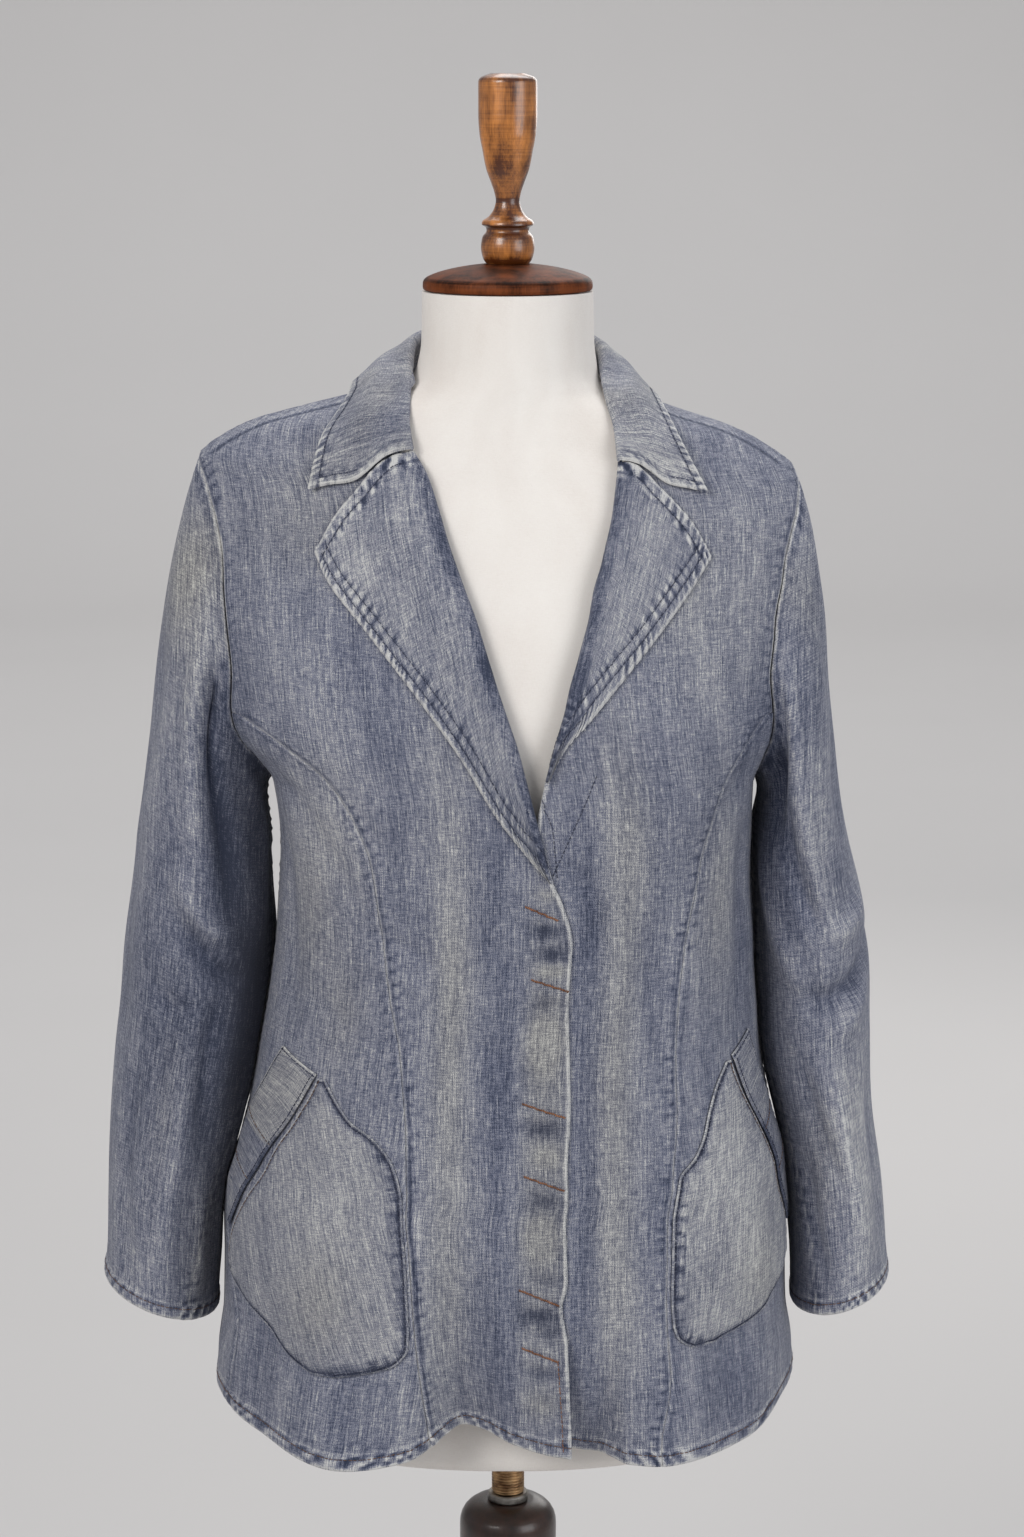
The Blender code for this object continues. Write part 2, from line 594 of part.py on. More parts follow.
def quads(rows, columns, start, flip, wraps=False):
    """Two triangles for each cell of a grid of points."""
    faces = []
    for i in range(rows - 1):
        for j in range(columns if wraps else columns - 1):
            k = (j + 1) % columns
            a, b = start + i * columns + j, start + i * columns + k
            c, d = start + (i + 1) * columns + k, start + (i + 1) * columns + j
            for face in ((a, b, c), (a, c, d)):
                faces.append(face[::-1] if flip else face)
    return faces


def strip(path, other, flip):
    """A ribbon of triangles between two paths of point numbers."""
    faces = []
    for k in range(len(path) - 1):
        a, b, c, d = path[k], path[k + 1], other[k + 1], other[k]
        for face in ((a, b, c), (a, c, d)):
            faces.append(face[::-1] if flip else face)
    return faces


def wall(name, outer, inner, finish, wraps=False):
    """A closed wall between two grids: rows upward, columns turning from -X to +X."""
    rows, columns = outer.shape[:2]
    count = rows * columns
    number = np.arange(count).reshape(rows, columns)
    faces = quads(rows, columns, 0, False, wraps)
    faces += quads(rows, columns, count, True, wraps)
    around = list(range(columns)) + ([0] if wraps else [])
    bottom, top = number[0][around], number[-1][around]
    faces += strip(bottom, bottom + count, True)
    faces += strip(top, top + count, False)
    if not wraps:
        faces += strip(number[:, 0], number[:, 0] + count, False)
        faces += strip(number[:, -1], number[:, -1] + count, True)
    points = np.concatenate([outer.reshape(-1, 3), inner.reshape(-1, 3)])
    return mesh_object(name, points, [tuple(int(n) for n in face) for face in faces], finish)


def panel(name, heights, low_turn, high_turn, columns, finish, out=0.0, depth=WALL, seam=GAP / 2):
    """A patch of the body between two edges, each given as a turn for every row."""
    heights = np.asarray(heights, dtype=float)
    low = low_turn + arc_turn(seam, low_turn, heights)
    high = high_turn - arc_turn(seam, high_turn, heights)
    turn = spread(low, high, heights, columns)
    rise = np.clip((FLAT_ABOVE - heights) / (FLAT_ABOVE - heights[0]), 0, 1)[:, None]
    height = heights[:, None] + (hem_height(turn) - heights[0]) * rise if heights[0] < FLAT_ABOVE \
        else np.broadcast_to(heights[:, None], turn.shape)
    move = out(turn, height) if callable(out) else np.full(turn.shape, out)
    outer = body(turn, height, move)
    inner = body(turn, height, move - depth)
    return wall(name, outer, inner, finish)


def side_edge(height, side):
    """The seam that bounds the back: side seam, armhole and shoulder seam."""
    name = "right" if side < 0 else "left"
    seam = smooth(SIDE_SEAM, name, height)
    arm = outer_limit(height, side, "back_y")
    return np.where(height > UNDERARM, arm, seam)


def front_side_edge(height, side):
    """The seam that bounds a centre front: princess seam, armhole and shoulder seam."""
    name = "right" if side < 0 else "left"
    seam = smooth(PRINCESS_SEAM, name, height)
    arm = outer_limit(height, side, "front_y")
    return np.where(height > PRINCESS_TOP, arm, seam)


def side_front_edge(height, side):
    """The seam that bounds a side front toward the side: side seam, then armhole."""
    name = "right" if side < 0 else "left"
    seam = smooth(SIDE_SEAM, name, height)
    arm = outer_limit(height, side, "front_y")
    return np.where(height > UNDERARM, arm, seam)


def make_body_panels(denim):
    rows = np.array(SKIRT_ROWS + CHEST_ROWS + SHOULDER_ROWS)
    low_rows = rows[rows <= PRINCESS_TOP]
    panel("back", rows, side_edge(rows, 1), 360 + side_edge(rows, -1), BACK_COLUMNS, denim)
    right_edge = smooth(RIGHT_FRONT_EDGE, "turn", rows)
    left_edge = smooth(LEFT_FRONT_EDGE, "turn", rows)
    panel("front_right", rows, front_side_edge(rows, -1), right_edge, FRONT_COLUMNS, denim)
    panel("front_left", rows, left_edge, front_side_edge(rows, 1), FRONT_COLUMNS, denim, out=under_lap)
    panel("side_front_right", low_rows, side_front_edge(low_rows, -1),
          smooth(PRINCESS_SEAM, "right", low_rows), SIDE_COLUMNS, denim)
    panel("side_front_left", low_rows, smooth(PRINCESS_SEAM, "left", low_rows),
          side_front_edge(low_rows, 1), SIDE_COLUMNS, denim)


# ----------------------------------------------------------------- sleeves

def armhole_loop(side):
    """Points of the armhole seam, from the underarm up the front and down the back,
    the way into the wall at each, and its turn round the sleeve: 0 at the underarm,
    180 at the shoulder."""
    rows = np.array((UNDERARM,) + CHEST_ROWS)
    front = body(outer_limit(rows, side, "front_y"), rows)
    back = body(outer_limit(rows, side, "back_y"), rows)[::-1]
    inside = [body(outer_limit(rows, side, edge), rows, -WALL) for edge in ("front_y", "back_y")]
    turn = np.concatenate([along_path(front) * 180.0, 180.0 + along_path(back)[1:-1] * 180.0])
    points = np.concatenate([front, back[1:-1]])
    inside = np.concatenate([inside[0], inside[1][::-1][1:-1]])
    return points, unit(inside - points), turn


def along_path(points):
    steps = np.linalg.norm(np.diff(points, axis=0), axis=1)
    return np.concatenate([[0.0], np.cumsum(steps)]) / steps.sum()


def sleeve_ring(sections, turn, height, side):
    """Oval section: turn 0 faces the body, 90 the front, 180 away from the body."""
    angle = np.radians(turn)
    centre_x, centre_y, half_width, half_depth = (
        smooth(sections, name, height)
        for name in ("centre_x", "centre_y", "half_width", "half_depth"))
    x = centre_x - side * half_width * np.cos(angle)
    y = centre_y - half_depth * np.sin(angle)
    return np.stack([x, y, height + np.zeros_like(x)], axis=-1)


def make_sleeve(name, side, sections, cuff, fullness, denim):
    start, into, turn = armhole_loop(side)
    share = 1 - np.abs(turn - 180.0) / 180.0
    head = {key: smooth(SLEEVE_HEAD, key, share) for key in SLEEVE_HEAD if key != "share"}
    forward = np.where(turn < 180, -1.0, 1.0) * head["forward"]
    swing = mix(1.0, fullness, ease(0.5, 1.0, share))
    leave = unit(np.stack([side * head["outward"] * swing, forward, -head["down"]], axis=-1))
    top = sections["height"][-1]
    ring = sleeve_ring(sections, turn, top, side)
    below = sleeve_ring(sections, turn, top - 0.01, side)
    arrive = unit(below - ring) * head["arrive"][:, None]
    begin = start + leave * SLEEVE_SEAM
    grids = []
    for t in np.linspace(0, 1, SLEEVE_CAP_ROWS):
        grids.append((2 * t ** 3 - 3 * t * t + 1) * begin + (t ** 3 - 2 * t * t + t) * leave
                     * head["leave"][:, None] + (3 * t * t - 2 * t ** 3) * ring
                     + (t ** 3 - t * t) * arrive)
    for height in SLEEVE_ROWS:
        grids.append(sleeve_ring(sections, turn, height, side))
    middle, rise = cuff
    last = sleeve_ring(sections, turn, middle, side)
    centre = smooth(sections, "centre_x", middle)
    last[:, 2] += rise * side * (last[:, 0] - centre)
    grids.append(last)
    outer = np.array(grids[::-1])
    if side < 0:
        outer = outer[:, ::-1]
        into = into[::-1]
        share = share[::-1]
    along = np.gradient(outer, axis=0)
    across = np.roll(outer, -1, axis=1) - np.roll(outer, 1, axis=1)
    inward = -unit(np.cross(across, along))
    turned_in = ease(*MITRE, share)[:, None]
    inward[-1] = unit(mix(inward[-1], into, turned_in))
    wall(name, outer, outer + inward * WALL, denim, wraps=True)


# -------------------------------------------------------- collar and lapels

def front_point(x, z, out):
    """A point of the front at a given x and height, moved out."""
    return body(turn_at_x(x, z), z, out)


def make_lapel(name, sections, gorge, denim):
    """A sheet from the roll line to the edge, whose top side is the gorge and notch."""
    s = np.linspace(0, 1, LAPEL_COLUMNS + 1)[None, :]
    t = np.linspace(0, 1, LAPEL_ROWS + 1)[:, None]
    roll_x, roll_z, edge_x, edge_z = (
        smooth(sections, key, t) for key in ("roll_x", "roll_z", "edge_x", "edge_z"))
    x = mix(roll_x, edge_x, s)
    z = mix(roll_z, edge_z, s)
    pull = (1 - t) ** 4
    x = x + pull * (smooth(gorge, "x", s) - mix(x[:1, :1], x[:1, -1:], s))
    z = z + pull * (smooth(gorge, "z", s) - mix(z[:1, :1], z[:1, -1:], s))
    width = np.clip(np.abs(edge_x - roll_x) / 0.03, 0, 1)
    lift = LAPEL_CLEAR + LAPEL_ROLL * width * (1 - s) ** 2 * (1 - (1 - s) ** 6)
    inner = front_point(x, z, lift)
    outer = front_point(x, z, lift + FACED_WALL)
    if edge_x.mean() > roll_x.mean():
        wall(name, outer[::-1], inner[::-1], denim)
    else:
        wall(name, outer[::-1, ::-1], inner[::-1, ::-1], denim)


def collar_profile(share, q):
    """From the seam up the stand, over the fold and down the fall to the edge."""
    fold, edge = (
        np.stack([smooth(COLLAR, part + axis, share) for axis in ("_x", "_y", "_z")], axis=-1)
        for part in ("fold", "edge"))
    turn, height = smooth(COLLAR, "seam_turn", share), smooth(COLLAR, "seam_height", share)
    neck = body_raw(turn, height) - outward(body_raw, turn, height, 0.2, STEP) * WALL / 2
    seam = neck + unit(fold - neck) * COLLAR_SEAM
    out = unit(np.where([True, True, False], edge - fold, 0.0))
    up = np.zeros_like(out)
    up[..., 2] = 1.0
    stand = np.linalg.norm(fold - seam, axis=-1, keepdims=True)
    least, part, most = COLLAR_ROUND
    round_off = np.clip(stand * part, least, most)
    full = COLLAR_BULGE * unit(np.cross(np.cross(edge - fold, up), edge - fold))
    hollow = up * smooth(COLLAR, "sag", share)[..., None]
    forward = COLLAR_FORWARD * smooth(COLLAR, "sag", share)[..., None]
    middle = mix(fold, edge, 0.5) + full - hollow + forward * np.array([0.0, -1.0, 0.0])
    marks = [seam, mix(seam, fold, 0.55), fold - up * round_off, fold + out * round_off,
             mix(fold + out * round_off, middle + hollow * 0.85, 0.45), middle,
             mix(middle, edge, 0.55), edge]
    places = np.array(COLLAR_MARKS)
    stack = np.stack(marks, axis=0)
    i = int(np.clip(np.searchsorted(places, q) - 1, 0, len(places) - 2))
    t = (q - places[i]) / (places[i + 1] - places[i])
    return mix(stack[i], stack[i + 1], t)


def make_collar(denim):
    own = COLLAR["share"]
    share = np.sort(np.concatenate([own, (own[1:] + own[:-1]) / 2]))
    middle = np.array([collar_profile(share, q) for q in COLLAR_MARKS])
    along = np.gradient(middle, axis=0)
    across = np.gradient(middle, axis=1)
    normal = unit(np.cross(along, across))
    outer = settle(middle - normal * FACED_WALL / 2)
    inner = settle(middle + normal * FACED_WALL / 2)
    wall("collar", outer, inner, denim)


# ----------------------------------------------------------------- pockets

def make_pocket(name, sections, denim):
    """A patch between two edges, a row at each height of its table and of the panel's."""
    own = sections["height"][::-1]
    between = [z for z in SKIRT_ROWS if own[0] < z < own[-1] and np.abs(own - z).min() > POCKET_ROW]
    heights = np.sort(np.concatenate([own, between]))
    rising = {key: column[::-1] for key, column in sections.items()}
    side, front = smooth(rising, "side", heights), smooth(rising, "front", heights)
    u = np.linspace(0, 1, POCKET_COLUMNS + 1)
    v = (heights - heights[0]) / (heights[-1] - heights[0])
    turn = np.minimum(side, front)[:, None] + np.abs(front - side)[:, None] * u
    height = np.broadcast_to(heights[:, None], turn.shape)
    lie = LIE + POCKET_FULLNESS * np.sin(np.pi * u) * np.sin(np.pi * v)[:, None]
    wall(name, body(turn, height, lie + WALL), body(turn, height, lie), denim)


def make_band(name, sections, denim):
    t = np.linspace(0, 1, BAND_ROWS + 1)[::-1, None]
    s = np.linspace(0, 1, 4)[None, :]
    inner_turn, inner_z, outer_turn, outer_z = (
        smooth(sections, key, t) for key in ("inner_turn", "inner_z", "outer_turn", "outer_z"))
    turn, height = mix(inner_turn, outer_turn, s), mix(inner_z, outer_z, s)
    if outer_turn[0, 0] < inner_turn[0, 0]:
        turn, height = turn[:, ::-1], height[:, ::-1]
    wall(name, body(turn, height, BAND_LIE + WALL), body(turn, height, BAND_LIE), denim)


# --------------------------------------------------------- form and stand

def make_form(cotton):
    """Level sections, closed flat at the bottom and at the neck."""
    heights = FORM["height"]
    turn = np.arange(FORM_SIDES) * 360.0 / FORM_SIDES
    s, c = np.sin(np.radians(turn)), np.cos(np.radians(turn))
    rows = []
    for k, height in enumerate(heights):
        a, n = FORM["half_width"][k], FORM["squareness"][k]
        depth = np.where(c > 0, FORM["front"][k], FORM["back"][k])
        centre = smooth(BODY, "centre_x", height) * ease(1.30, 1.38, height) * (1 - ease(1.42, 1.45, height))
        radius = (np.abs(s / a) ** n + np.abs(c / depth) ** n) ** (-1 / n)
        rows.append(np.stack([centre + radius * s, -radius * c, np.full(FORM_SIDES, height)], axis=-1))
    grid = settle(np.array(rows))
    closed_tube("form_torso", grid, cotton)


def closed_tube(name, grid, finish, sharp_degrees=40.0):
    """Rings of points joined into a tube, with a fan at each end."""
    rows, columns = grid.shape[:2]
    faces = quads(rows, columns, 0, False, wraps=True)
    points = np.concatenate([grid.reshape(-1, 3), grid[0].mean(axis=0)[None], grid[-1].mean(axis=0)[None]])
    low, high = rows * columns, rows * columns + 1
    for j in range(columns):
        k = (j + 1) % columns
        faces.append((low, k, j))
        faces.append((high, (rows - 1) * columns + j, (rows - 1) * columns + k))
    return mesh_object(name, points, faces, finish, sharp_degrees)


def turned(name, profile, finish, sides=TURNED_SIDES):
    """A turned piece: the profile's radius carried round the upright axis."""
    angle = np.arange(sides) * 2 * np.pi / sides
    radius, height = profile["radius"][:, None], profile["height"][:, None]
    grid = np.stack([radius * np.sin(angle), -radius * np.cos(angle), height + 0 * angle], axis=-1)
    return closed_tube(name, grid, finish)


def straight(radius, low, high):
    return table("radius height", [(radius, low), (radius, high)])


def make_stand():
    turned("neck_cap", NECK_CAP, DARK_WOOD)
    turned("finial", FINIAL, GOLDEN_WOOD)
    column_top = COLUMN["height"][-1]
    ferrule_top = column_top + GAP + FERRULE_HEIGHT
    turned("ferrule", straight(FERRULE_RADIUS, column_top + GAP, ferrule_top), STEEL)
    turned("threaded_rod", straight(ROD_RADIUS, ferrule_top + GAP, FORM["height"][0] - GAP), BRASS)
    turned("column", COLUMN, BLACK_WOOD)
    turned("base", BASE_PROFILE, BLACK_WOOD, sides=48)


# -------------------------------------------------------------- whole thing

def clear_scene():
    for thing in list(bpy.data.objects):
        bpy.data.objects.remove(thing, do_unlink=True)


def main():
    clear_scene()
    make_body_panels(DENIM)
    make_sleeve("sleeve_right", -1, RIGHT_SLEEVE, RIGHT_CUFF, RIGHT_HEAD, DENIM)
    make_sleeve("sleeve_left", 1, LEFT_SLEEVE, LEFT_CUFF, LEFT_HEAD, DENIM)
    make_lapel("lapel_right", RIGHT_LAPEL, RIGHT_GORGE, PALE_DENIM)
    make_lapel("lapel_left", LEFT_LAPEL, LEFT_GORGE, PALE_DENIM)
    make_collar(PALE_DENIM)
    make_pocket("pocket_right", RIGHT_POCKET, DENIM)
    make_pocket("pocket_left", LEFT_POCKET, DENIM)
    make_band("pocket_band_right", RIGHT_BAND, DENIM)
    make_band("pocket_band_left", LEFT_BAND, DENIM)
    make_form(COTTON)
    make_stand()


main()
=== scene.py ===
"""A washed denim blazer on a limbless dress form that stands on a round base.

Metres, +Z up, the jacket faces -Y. "Right" and "left" are the wearer's, so the right
front is at -X, and side is -1 for right and 1 for left. A turn is in degrees round the
body: 0 in front, 90 at +X, 180 behind. Every cloth piece is a grid of points worked out
from a formula, with its rows one above the other. It is closed by an inner grid one
cloth thickness behind, and by a strip round its edge. A grid's sides are called low and
high (first and last column), foot and top (first and last row). "grain" is the cloth's
own coordinate on a piece: metres across the warp, metres along it. "tone" says how worn
the indigo is there, -1 dark to 1 white, and in folds, dents and hollows it also holds
painted shade and painted highlight. "warm" says how much it has gone beige.
"""

import bpy
import numpy as np
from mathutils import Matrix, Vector


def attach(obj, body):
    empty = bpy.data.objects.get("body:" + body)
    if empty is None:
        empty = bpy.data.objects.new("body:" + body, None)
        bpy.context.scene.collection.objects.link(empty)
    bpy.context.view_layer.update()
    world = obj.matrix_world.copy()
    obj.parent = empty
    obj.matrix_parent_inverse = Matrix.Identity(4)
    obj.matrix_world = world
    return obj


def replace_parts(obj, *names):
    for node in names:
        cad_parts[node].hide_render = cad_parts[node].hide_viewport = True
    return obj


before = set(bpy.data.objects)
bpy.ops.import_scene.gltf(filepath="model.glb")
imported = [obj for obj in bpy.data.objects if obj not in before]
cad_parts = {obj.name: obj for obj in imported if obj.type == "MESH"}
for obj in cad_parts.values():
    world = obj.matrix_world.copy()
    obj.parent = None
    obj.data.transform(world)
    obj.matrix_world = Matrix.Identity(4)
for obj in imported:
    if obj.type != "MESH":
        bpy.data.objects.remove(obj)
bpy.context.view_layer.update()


def table(names, rows):
    """Rows of numbers as a dictionary of columns."""
    return dict(zip(names.split(), np.array(rows, dtype=float).T))


# ------------------------------------------------------------ measurements

WALL = 0.0015          # denim with its turnings
FACED_WALL = 0.0022    # collar and lapels, two layers
GAP = 0.0004           # between two pieces at a seam
LIE = 0.0019           # under a patch pocket
BAND_LIE = 0.0013      # under the band beside it
STEP = 0.0004          # small move that a slope is measured with

UNDERARM = 1.15       # height of the lowest point of the armhole
SHOULDER_TIP = 1.3735
NECK_POINT = 1.427
PRINCESS_TOP = 1.203
SHOULDER_SEAM_Y = -0.004
FLAT_ABOVE = 0.8     # rows above this are level, those below follow the hem
HEM_ROW = 0.695

# Sections of the worn jacket, outer face. Above the underarm the half width is
# that of the whole shoulder, and the armhole cuts it. The last two columns say how
# square the front and the back half are: 2 is an ellipse.
BODY = table("height half_width front back centre_x front_square back_square", [
    (0.68, 0.212, 0.172, 0.166, -0.004, 2.3, 2.3), (0.725, 0.2115, 0.17, 0.163, -0.003, 2.3, 2.3),
    (0.76, 0.207, 0.167, 0.158, -0.003, 2.3, 2.3), (0.824, 0.205, 0.16, 0.15, -0.0025, 2.3, 2.3),
    (0.854, 0.202, 0.155, 0.145, -0.002, 2.3, 2.3), (0.88, 0.1967, 0.151, 0.138, 0.001, 2.3, 2.3),
    (0.91, 0.1887, 0.147, 0.131, 0.001, 2.3, 2.3), (0.946, 0.1815, 0.143, 0.124, 0.001, 2.3, 2.3),
    (0.994, 0.175, 0.139, 0.117, 0.0035, 2.3, 2.3), (1.04, 0.1712, 0.138, 0.115, 0.0057, 2.3, 2.4),
    (1.1, 0.168, 0.141, 0.117, 0.0055, 2.45, 2.75), (1.15, 0.171, 0.142, 0.121, 0.004, 2.7, 3.0),
    (1.166, 0.18, 0.141, 0.123, 0.002, 2.6, 2.75), (1.183, 0.1945, 0.14, 0.124, -0.001, 2.45, 2.5),
    (1.2, 0.204, 0.138, 0.125, -0.003, 2.35, 2.35), (1.235, 0.21, 0.13, 0.125, -0.005, 2.3, 2.3),
    (1.264, 0.216, 0.121, 0.123, -0.005, 2.3, 2.3), (1.3, 0.221, 0.108, 0.119, -0.003, 2.3, 2.3),
    (1.34, 0.221, 0.091, 0.11, -0.002, 2.3, 2.3), (1.36, 0.2165, 0.082, 0.103, -0.004, 2.3, 2.3),
    (1.3735, 0.208, 0.0765, 0.098, -0.008, 2.3, 2.3), (1.3845, 0.194, 0.0705, 0.092, -0.009, 2.3, 2.3),
    (1.398, 0.168, 0.065, 0.085, -0.009, 2.3, 2.3), (1.4063, 0.14, 0.0625, 0.081, -0.009, 2.3, 2.3),
    (1.4144, 0.112, 0.0605, 0.077, -0.007, 2.3, 2.3), (1.421, 0.09, 0.059, 0.073, -0.004, 2.3, 2.3),
    (1.427, 0.074, 0.0575, 0.07, -0.001, 2.3, 2.3),
])

# The hem all round: its height, how far a flare (+) or a fold (-) moves it out,
# and the height where that flare or fold has died away.
HEM = table("turn height out reach", [
    (-180, 0.69, 0.004, 0.82), (-152, 0.693, -0.01, 0.84), (-125, 0.697, 0.008, 0.86),
    (-100, 0.701, -0.003, 0.85), (-75, 0.703, 0.0, 0.85), (-55, 0.697, 0.008, 0.9),
    (-35, 0.686, 0.018, 0.92), (-21.5, 0.6925, 0.005, 0.9), (-11.3, 0.7085, -0.03, 0.85),
    (-4.5, 0.7076, -0.022, 0.84), (3, 0.702, -0.01, 0.82), (12, 0.6965, 0.0, 0.82), (25, 0.69, 0.002, 0.82),
    (36, 0.687, 0.012, 0.86), (56, 0.69, 0.004, 0.86), (75, 0.703, 0.0, 0.85), (100, 0.703, 0.002, 0.85),
    (127, 0.696, -0.009, 0.84), (153, 0.692, 0.008, 0.86), (180, 0.69, 0.004, 0.82),
])
HEM_FADE = 1.6         # power with which they die away upward

# Depth of the armhole seam before (-Y) and behind (+Y) the shoulder line.
ARMHOLE = table("height front_y back_y", [
    (1.15, 0.0, 0.0), (1.154, -0.02, 0.02), (1.166, -0.045, 0.046), (1.183, -0.058, 0.062),
    (1.203, -0.065, 0.072), (1.235, -0.069, 0.078), (1.264, -0.067, 0.078), (1.3, -0.06, 0.072),
    (1.335, -0.046, 0.058), (1.36, -0.029, 0.038), (1.368, -0.018, 0.02), (1.3735, -0.004, -0.004),
])

# Turn of the seams and edges that run down the body.
SIDE_SEAM = table("height right left", [
    (0.68, -70.0, 98.0), (0.73, -66.5, 97.0), (0.757, -66.5, 96.5), (0.79, -71.5, 96.0),
    (0.81, -75.0, 95.5), (0.86, -81.5, 94.0), (0.9, -85.5, 93.0), (0.95, -88.0, 91.5), (1.0, -90.0, 90.0),
    (1.15, -90.0, 90.0),
])
PRINCESS_SEAM = table("height right left", [
    (0.68, -17.3, 33.8), (0.71, -18.0, 34.2), (0.755, -19.8, 37.5), (0.785, -21.0, 37.6),
    (0.835, -23.1, 39.1), (0.876, -25.9, 41.0), (0.934, -27.9, 44.5), (0.97, -30.1, 45.2),
    (1.017, -34.7, 45.7), (1.061, -37.2, 48.0), (1.11, -38.8, 51.6), (1.15, -44.4, 55.8),
    (1.175, -52.0, 60.4), (1.192, -60.5, 64.5), (1.203, -68.0, 68.0),
])
RIGHT_FRONT_EDGE = table("height turn", [
    (0.68, 16.1), (0.737, 15.5), (0.776, 15.3), (0.802, 14.2), (0.82, 15.6), (0.89, 15.4), (0.9455, 16.9),
    (1.0226, 15.4), (1.0544, 16.0), (1.083, 13.1), (1.0996, 10.3), (1.129, 8.3), (1.151, 6.4), (1.19, 3.7),
    (1.216, 1.3), (1.265, -6.8), (1.293, -11.5), (1.325, -21.0), (1.372, -31.5), (1.3846, -39.0),
    (1.402, -45.5), (1.4144, -54.5), (1.427, -66.0),
])
LEFT_FRONT_EDGE = table("height turn", [
    (0.68, 3.0), (1.09, 3.3), (1.12, 5.0), (1.148, 6.9), (1.169, 9.7), (1.19, 13.0), (1.215, 17.6),
    (1.253, 23.6), (1.292, 29.8), (1.36, 44.5), (1.384, 52.1), (1.427, 68.0),
])

# The left front lies under the right one, and its hem folds deeper there.
UNDER_DEPTH = 0.0026
UNDER_FOLD = 0.024
UNDER_FOLD_TOP = 0.8
UNDER_TURNS = (23.0, 28.0)      # where the under lap comes back to the surface
UNDER_TOP = (1.16, 1.2)

# Lapels: the roll line and the outer edge, the top side between them.
RIGHT_LAPEL = table("share roll_x roll_z edge_x edge_z", [
    (0.0, -0.0642, 1.3846, -0.1315, 1.3173), (0.1, -0.0545, 1.369, -0.1235, 1.301),
    (0.3, -0.0398, 1.325, -0.092, 1.2631), (0.47, -0.0222, 1.279, -0.064, 1.229),
    (0.64, -0.005, 1.227, -0.0322, 1.1862), (0.8, 0.01, 1.18, -0.0074, 1.1455),
    (1.0, 0.0305, 1.0985, 0.0265, 1.1015),
])
RIGHT_GORGE = table("share x z", [
    (0.0, -0.0642, 1.3846), (0.17, -0.0785, 1.3805), (0.32, -0.0907, 1.3725), (0.5, -0.1016, 1.3594),
    (0.72, -0.1166, 1.342), (1.0, -0.1315, 1.3173),
])
LEFT_LAPEL = table("share roll_x roll_z edge_x edge_z", [
    (0.0, 0.0752, 1.3803, 0.1398, 1.3168), (0.1, 0.0735, 1.36, 0.131, 1.303),
    (0.3, 0.064, 1.316, 0.106, 1.269), (0.5, 0.052, 1.266, 0.0816, 1.2401),
    (0.7, 0.04, 1.221, 0.0558, 1.2099), (0.85, 0.0312, 1.192, 0.0375, 1.189),
    (1.0, 0.0256, 1.1692, 0.029, 1.171),
])
LEFT_GORGE = table("share x z", [
    (0.0, 0.0752, 1.3803), (0.17, 0.0886, 1.3762), (0.32, 0.1029, 1.3635), (0.5, 0.113, 1.354),
    (0.72, 0.126, 1.34), (1.0, 0.1398, 1.3168),
])
LAPEL_CLEAR = 0.001     # under the lapel at its outer edge
LAPEL_ROLL = 0.0035      # how far it stands off where it rolls

# Collar, from the right gorge round the back of the neck to the left one: its
# seam on the neck edge, the fold at the top of the stand, its outer edge, and how far
# the fall sags between fold and edge.
COLLAR = table("share seam_turn seam_height fold_x fold_y fold_z edge_x edge_y edge_z sag", [
    (0.0, -39.6, 1.3862, -0.0655, -0.0735, 1.3876, -0.1367, -0.0755, 1.359, 0.0125),
    (0.1, -45.6, 1.403, -0.068, -0.061, 1.407, -0.1285, -0.063, 1.392, 0.0),
    (0.18, -52.8, 1.4144, -0.0678, -0.043, 1.4245, -0.1158, -0.04, 1.411, 0.0),
    (0.24, -62.0, NECK_POINT, -0.067, -0.025, 1.436, -0.1105, -0.0125, 1.4195, 0.0),
    (0.3, -76.0, NECK_POINT, -0.0665, -0.006, 1.446, -0.11, 0.015, 1.4225, 0.0),
    (0.36, -95.0, NECK_POINT, -0.0655, 0.018, 1.455, -0.102, 0.048, 1.419, 0.0),
    (0.43, -135.0, NECK_POINT, -0.045, 0.057, 1.462, -0.072, 0.08, 1.415, 0.0),
    (0.5, -180.0, NECK_POINT, 0.0, 0.073, 1.465, 0.0, 0.096, 1.413, 0.0),
    (0.57, -225.0, NECK_POINT, 0.045, 0.057, 1.46, 0.072, 0.08, 1.415, 0.0),
    (0.64, -265.0, NECK_POINT, 0.0645, 0.018, 1.45, 0.1, 0.048, 1.418, 0.0),
    (0.7, -281.0, NECK_POINT, 0.065, -0.006, 1.441, 0.1045, 0.015, 1.419, 0.0),
    (0.76, -292.0, NECK_POINT, 0.066, -0.025, 1.432, 0.1065, -0.0115, 1.4175, 0.0),
    (0.82, -296.7, 1.4144, 0.0685, -0.043, 1.421, 0.1105, -0.038, 1.4115, 0.0),
    (0.9, -302.0, 1.401, 0.0735, -0.059, 1.404, 0.118, -0.058, 1.397, 0.0),
    (1.0, -308.8, 1.3806, 0.076, -0.0725, 1.3824, 0.1374, -0.0735, 1.361, 0.01),
])
COLLAR_MARKS = (0.0, 0.16, 0.3, 0.38, 0.52, 0.68, 0.84, 1.0)     # its rows, from seam to edge
COLLAR_FOLD = 0.36         # the same share at its fold
COLLAR_SEAM = 0.0028       # from the panels' neck edge to the collar's first row
COLLAR_ROUND = (0.0012, 0.2, 0.0035)     # radius of the fold: least, share of the stand, most
COLLAR_BULGE = 0.006       # fullness of the fall
COLLAR_FORWARD = 0.15      # how far forward its ends come for each part of their sag

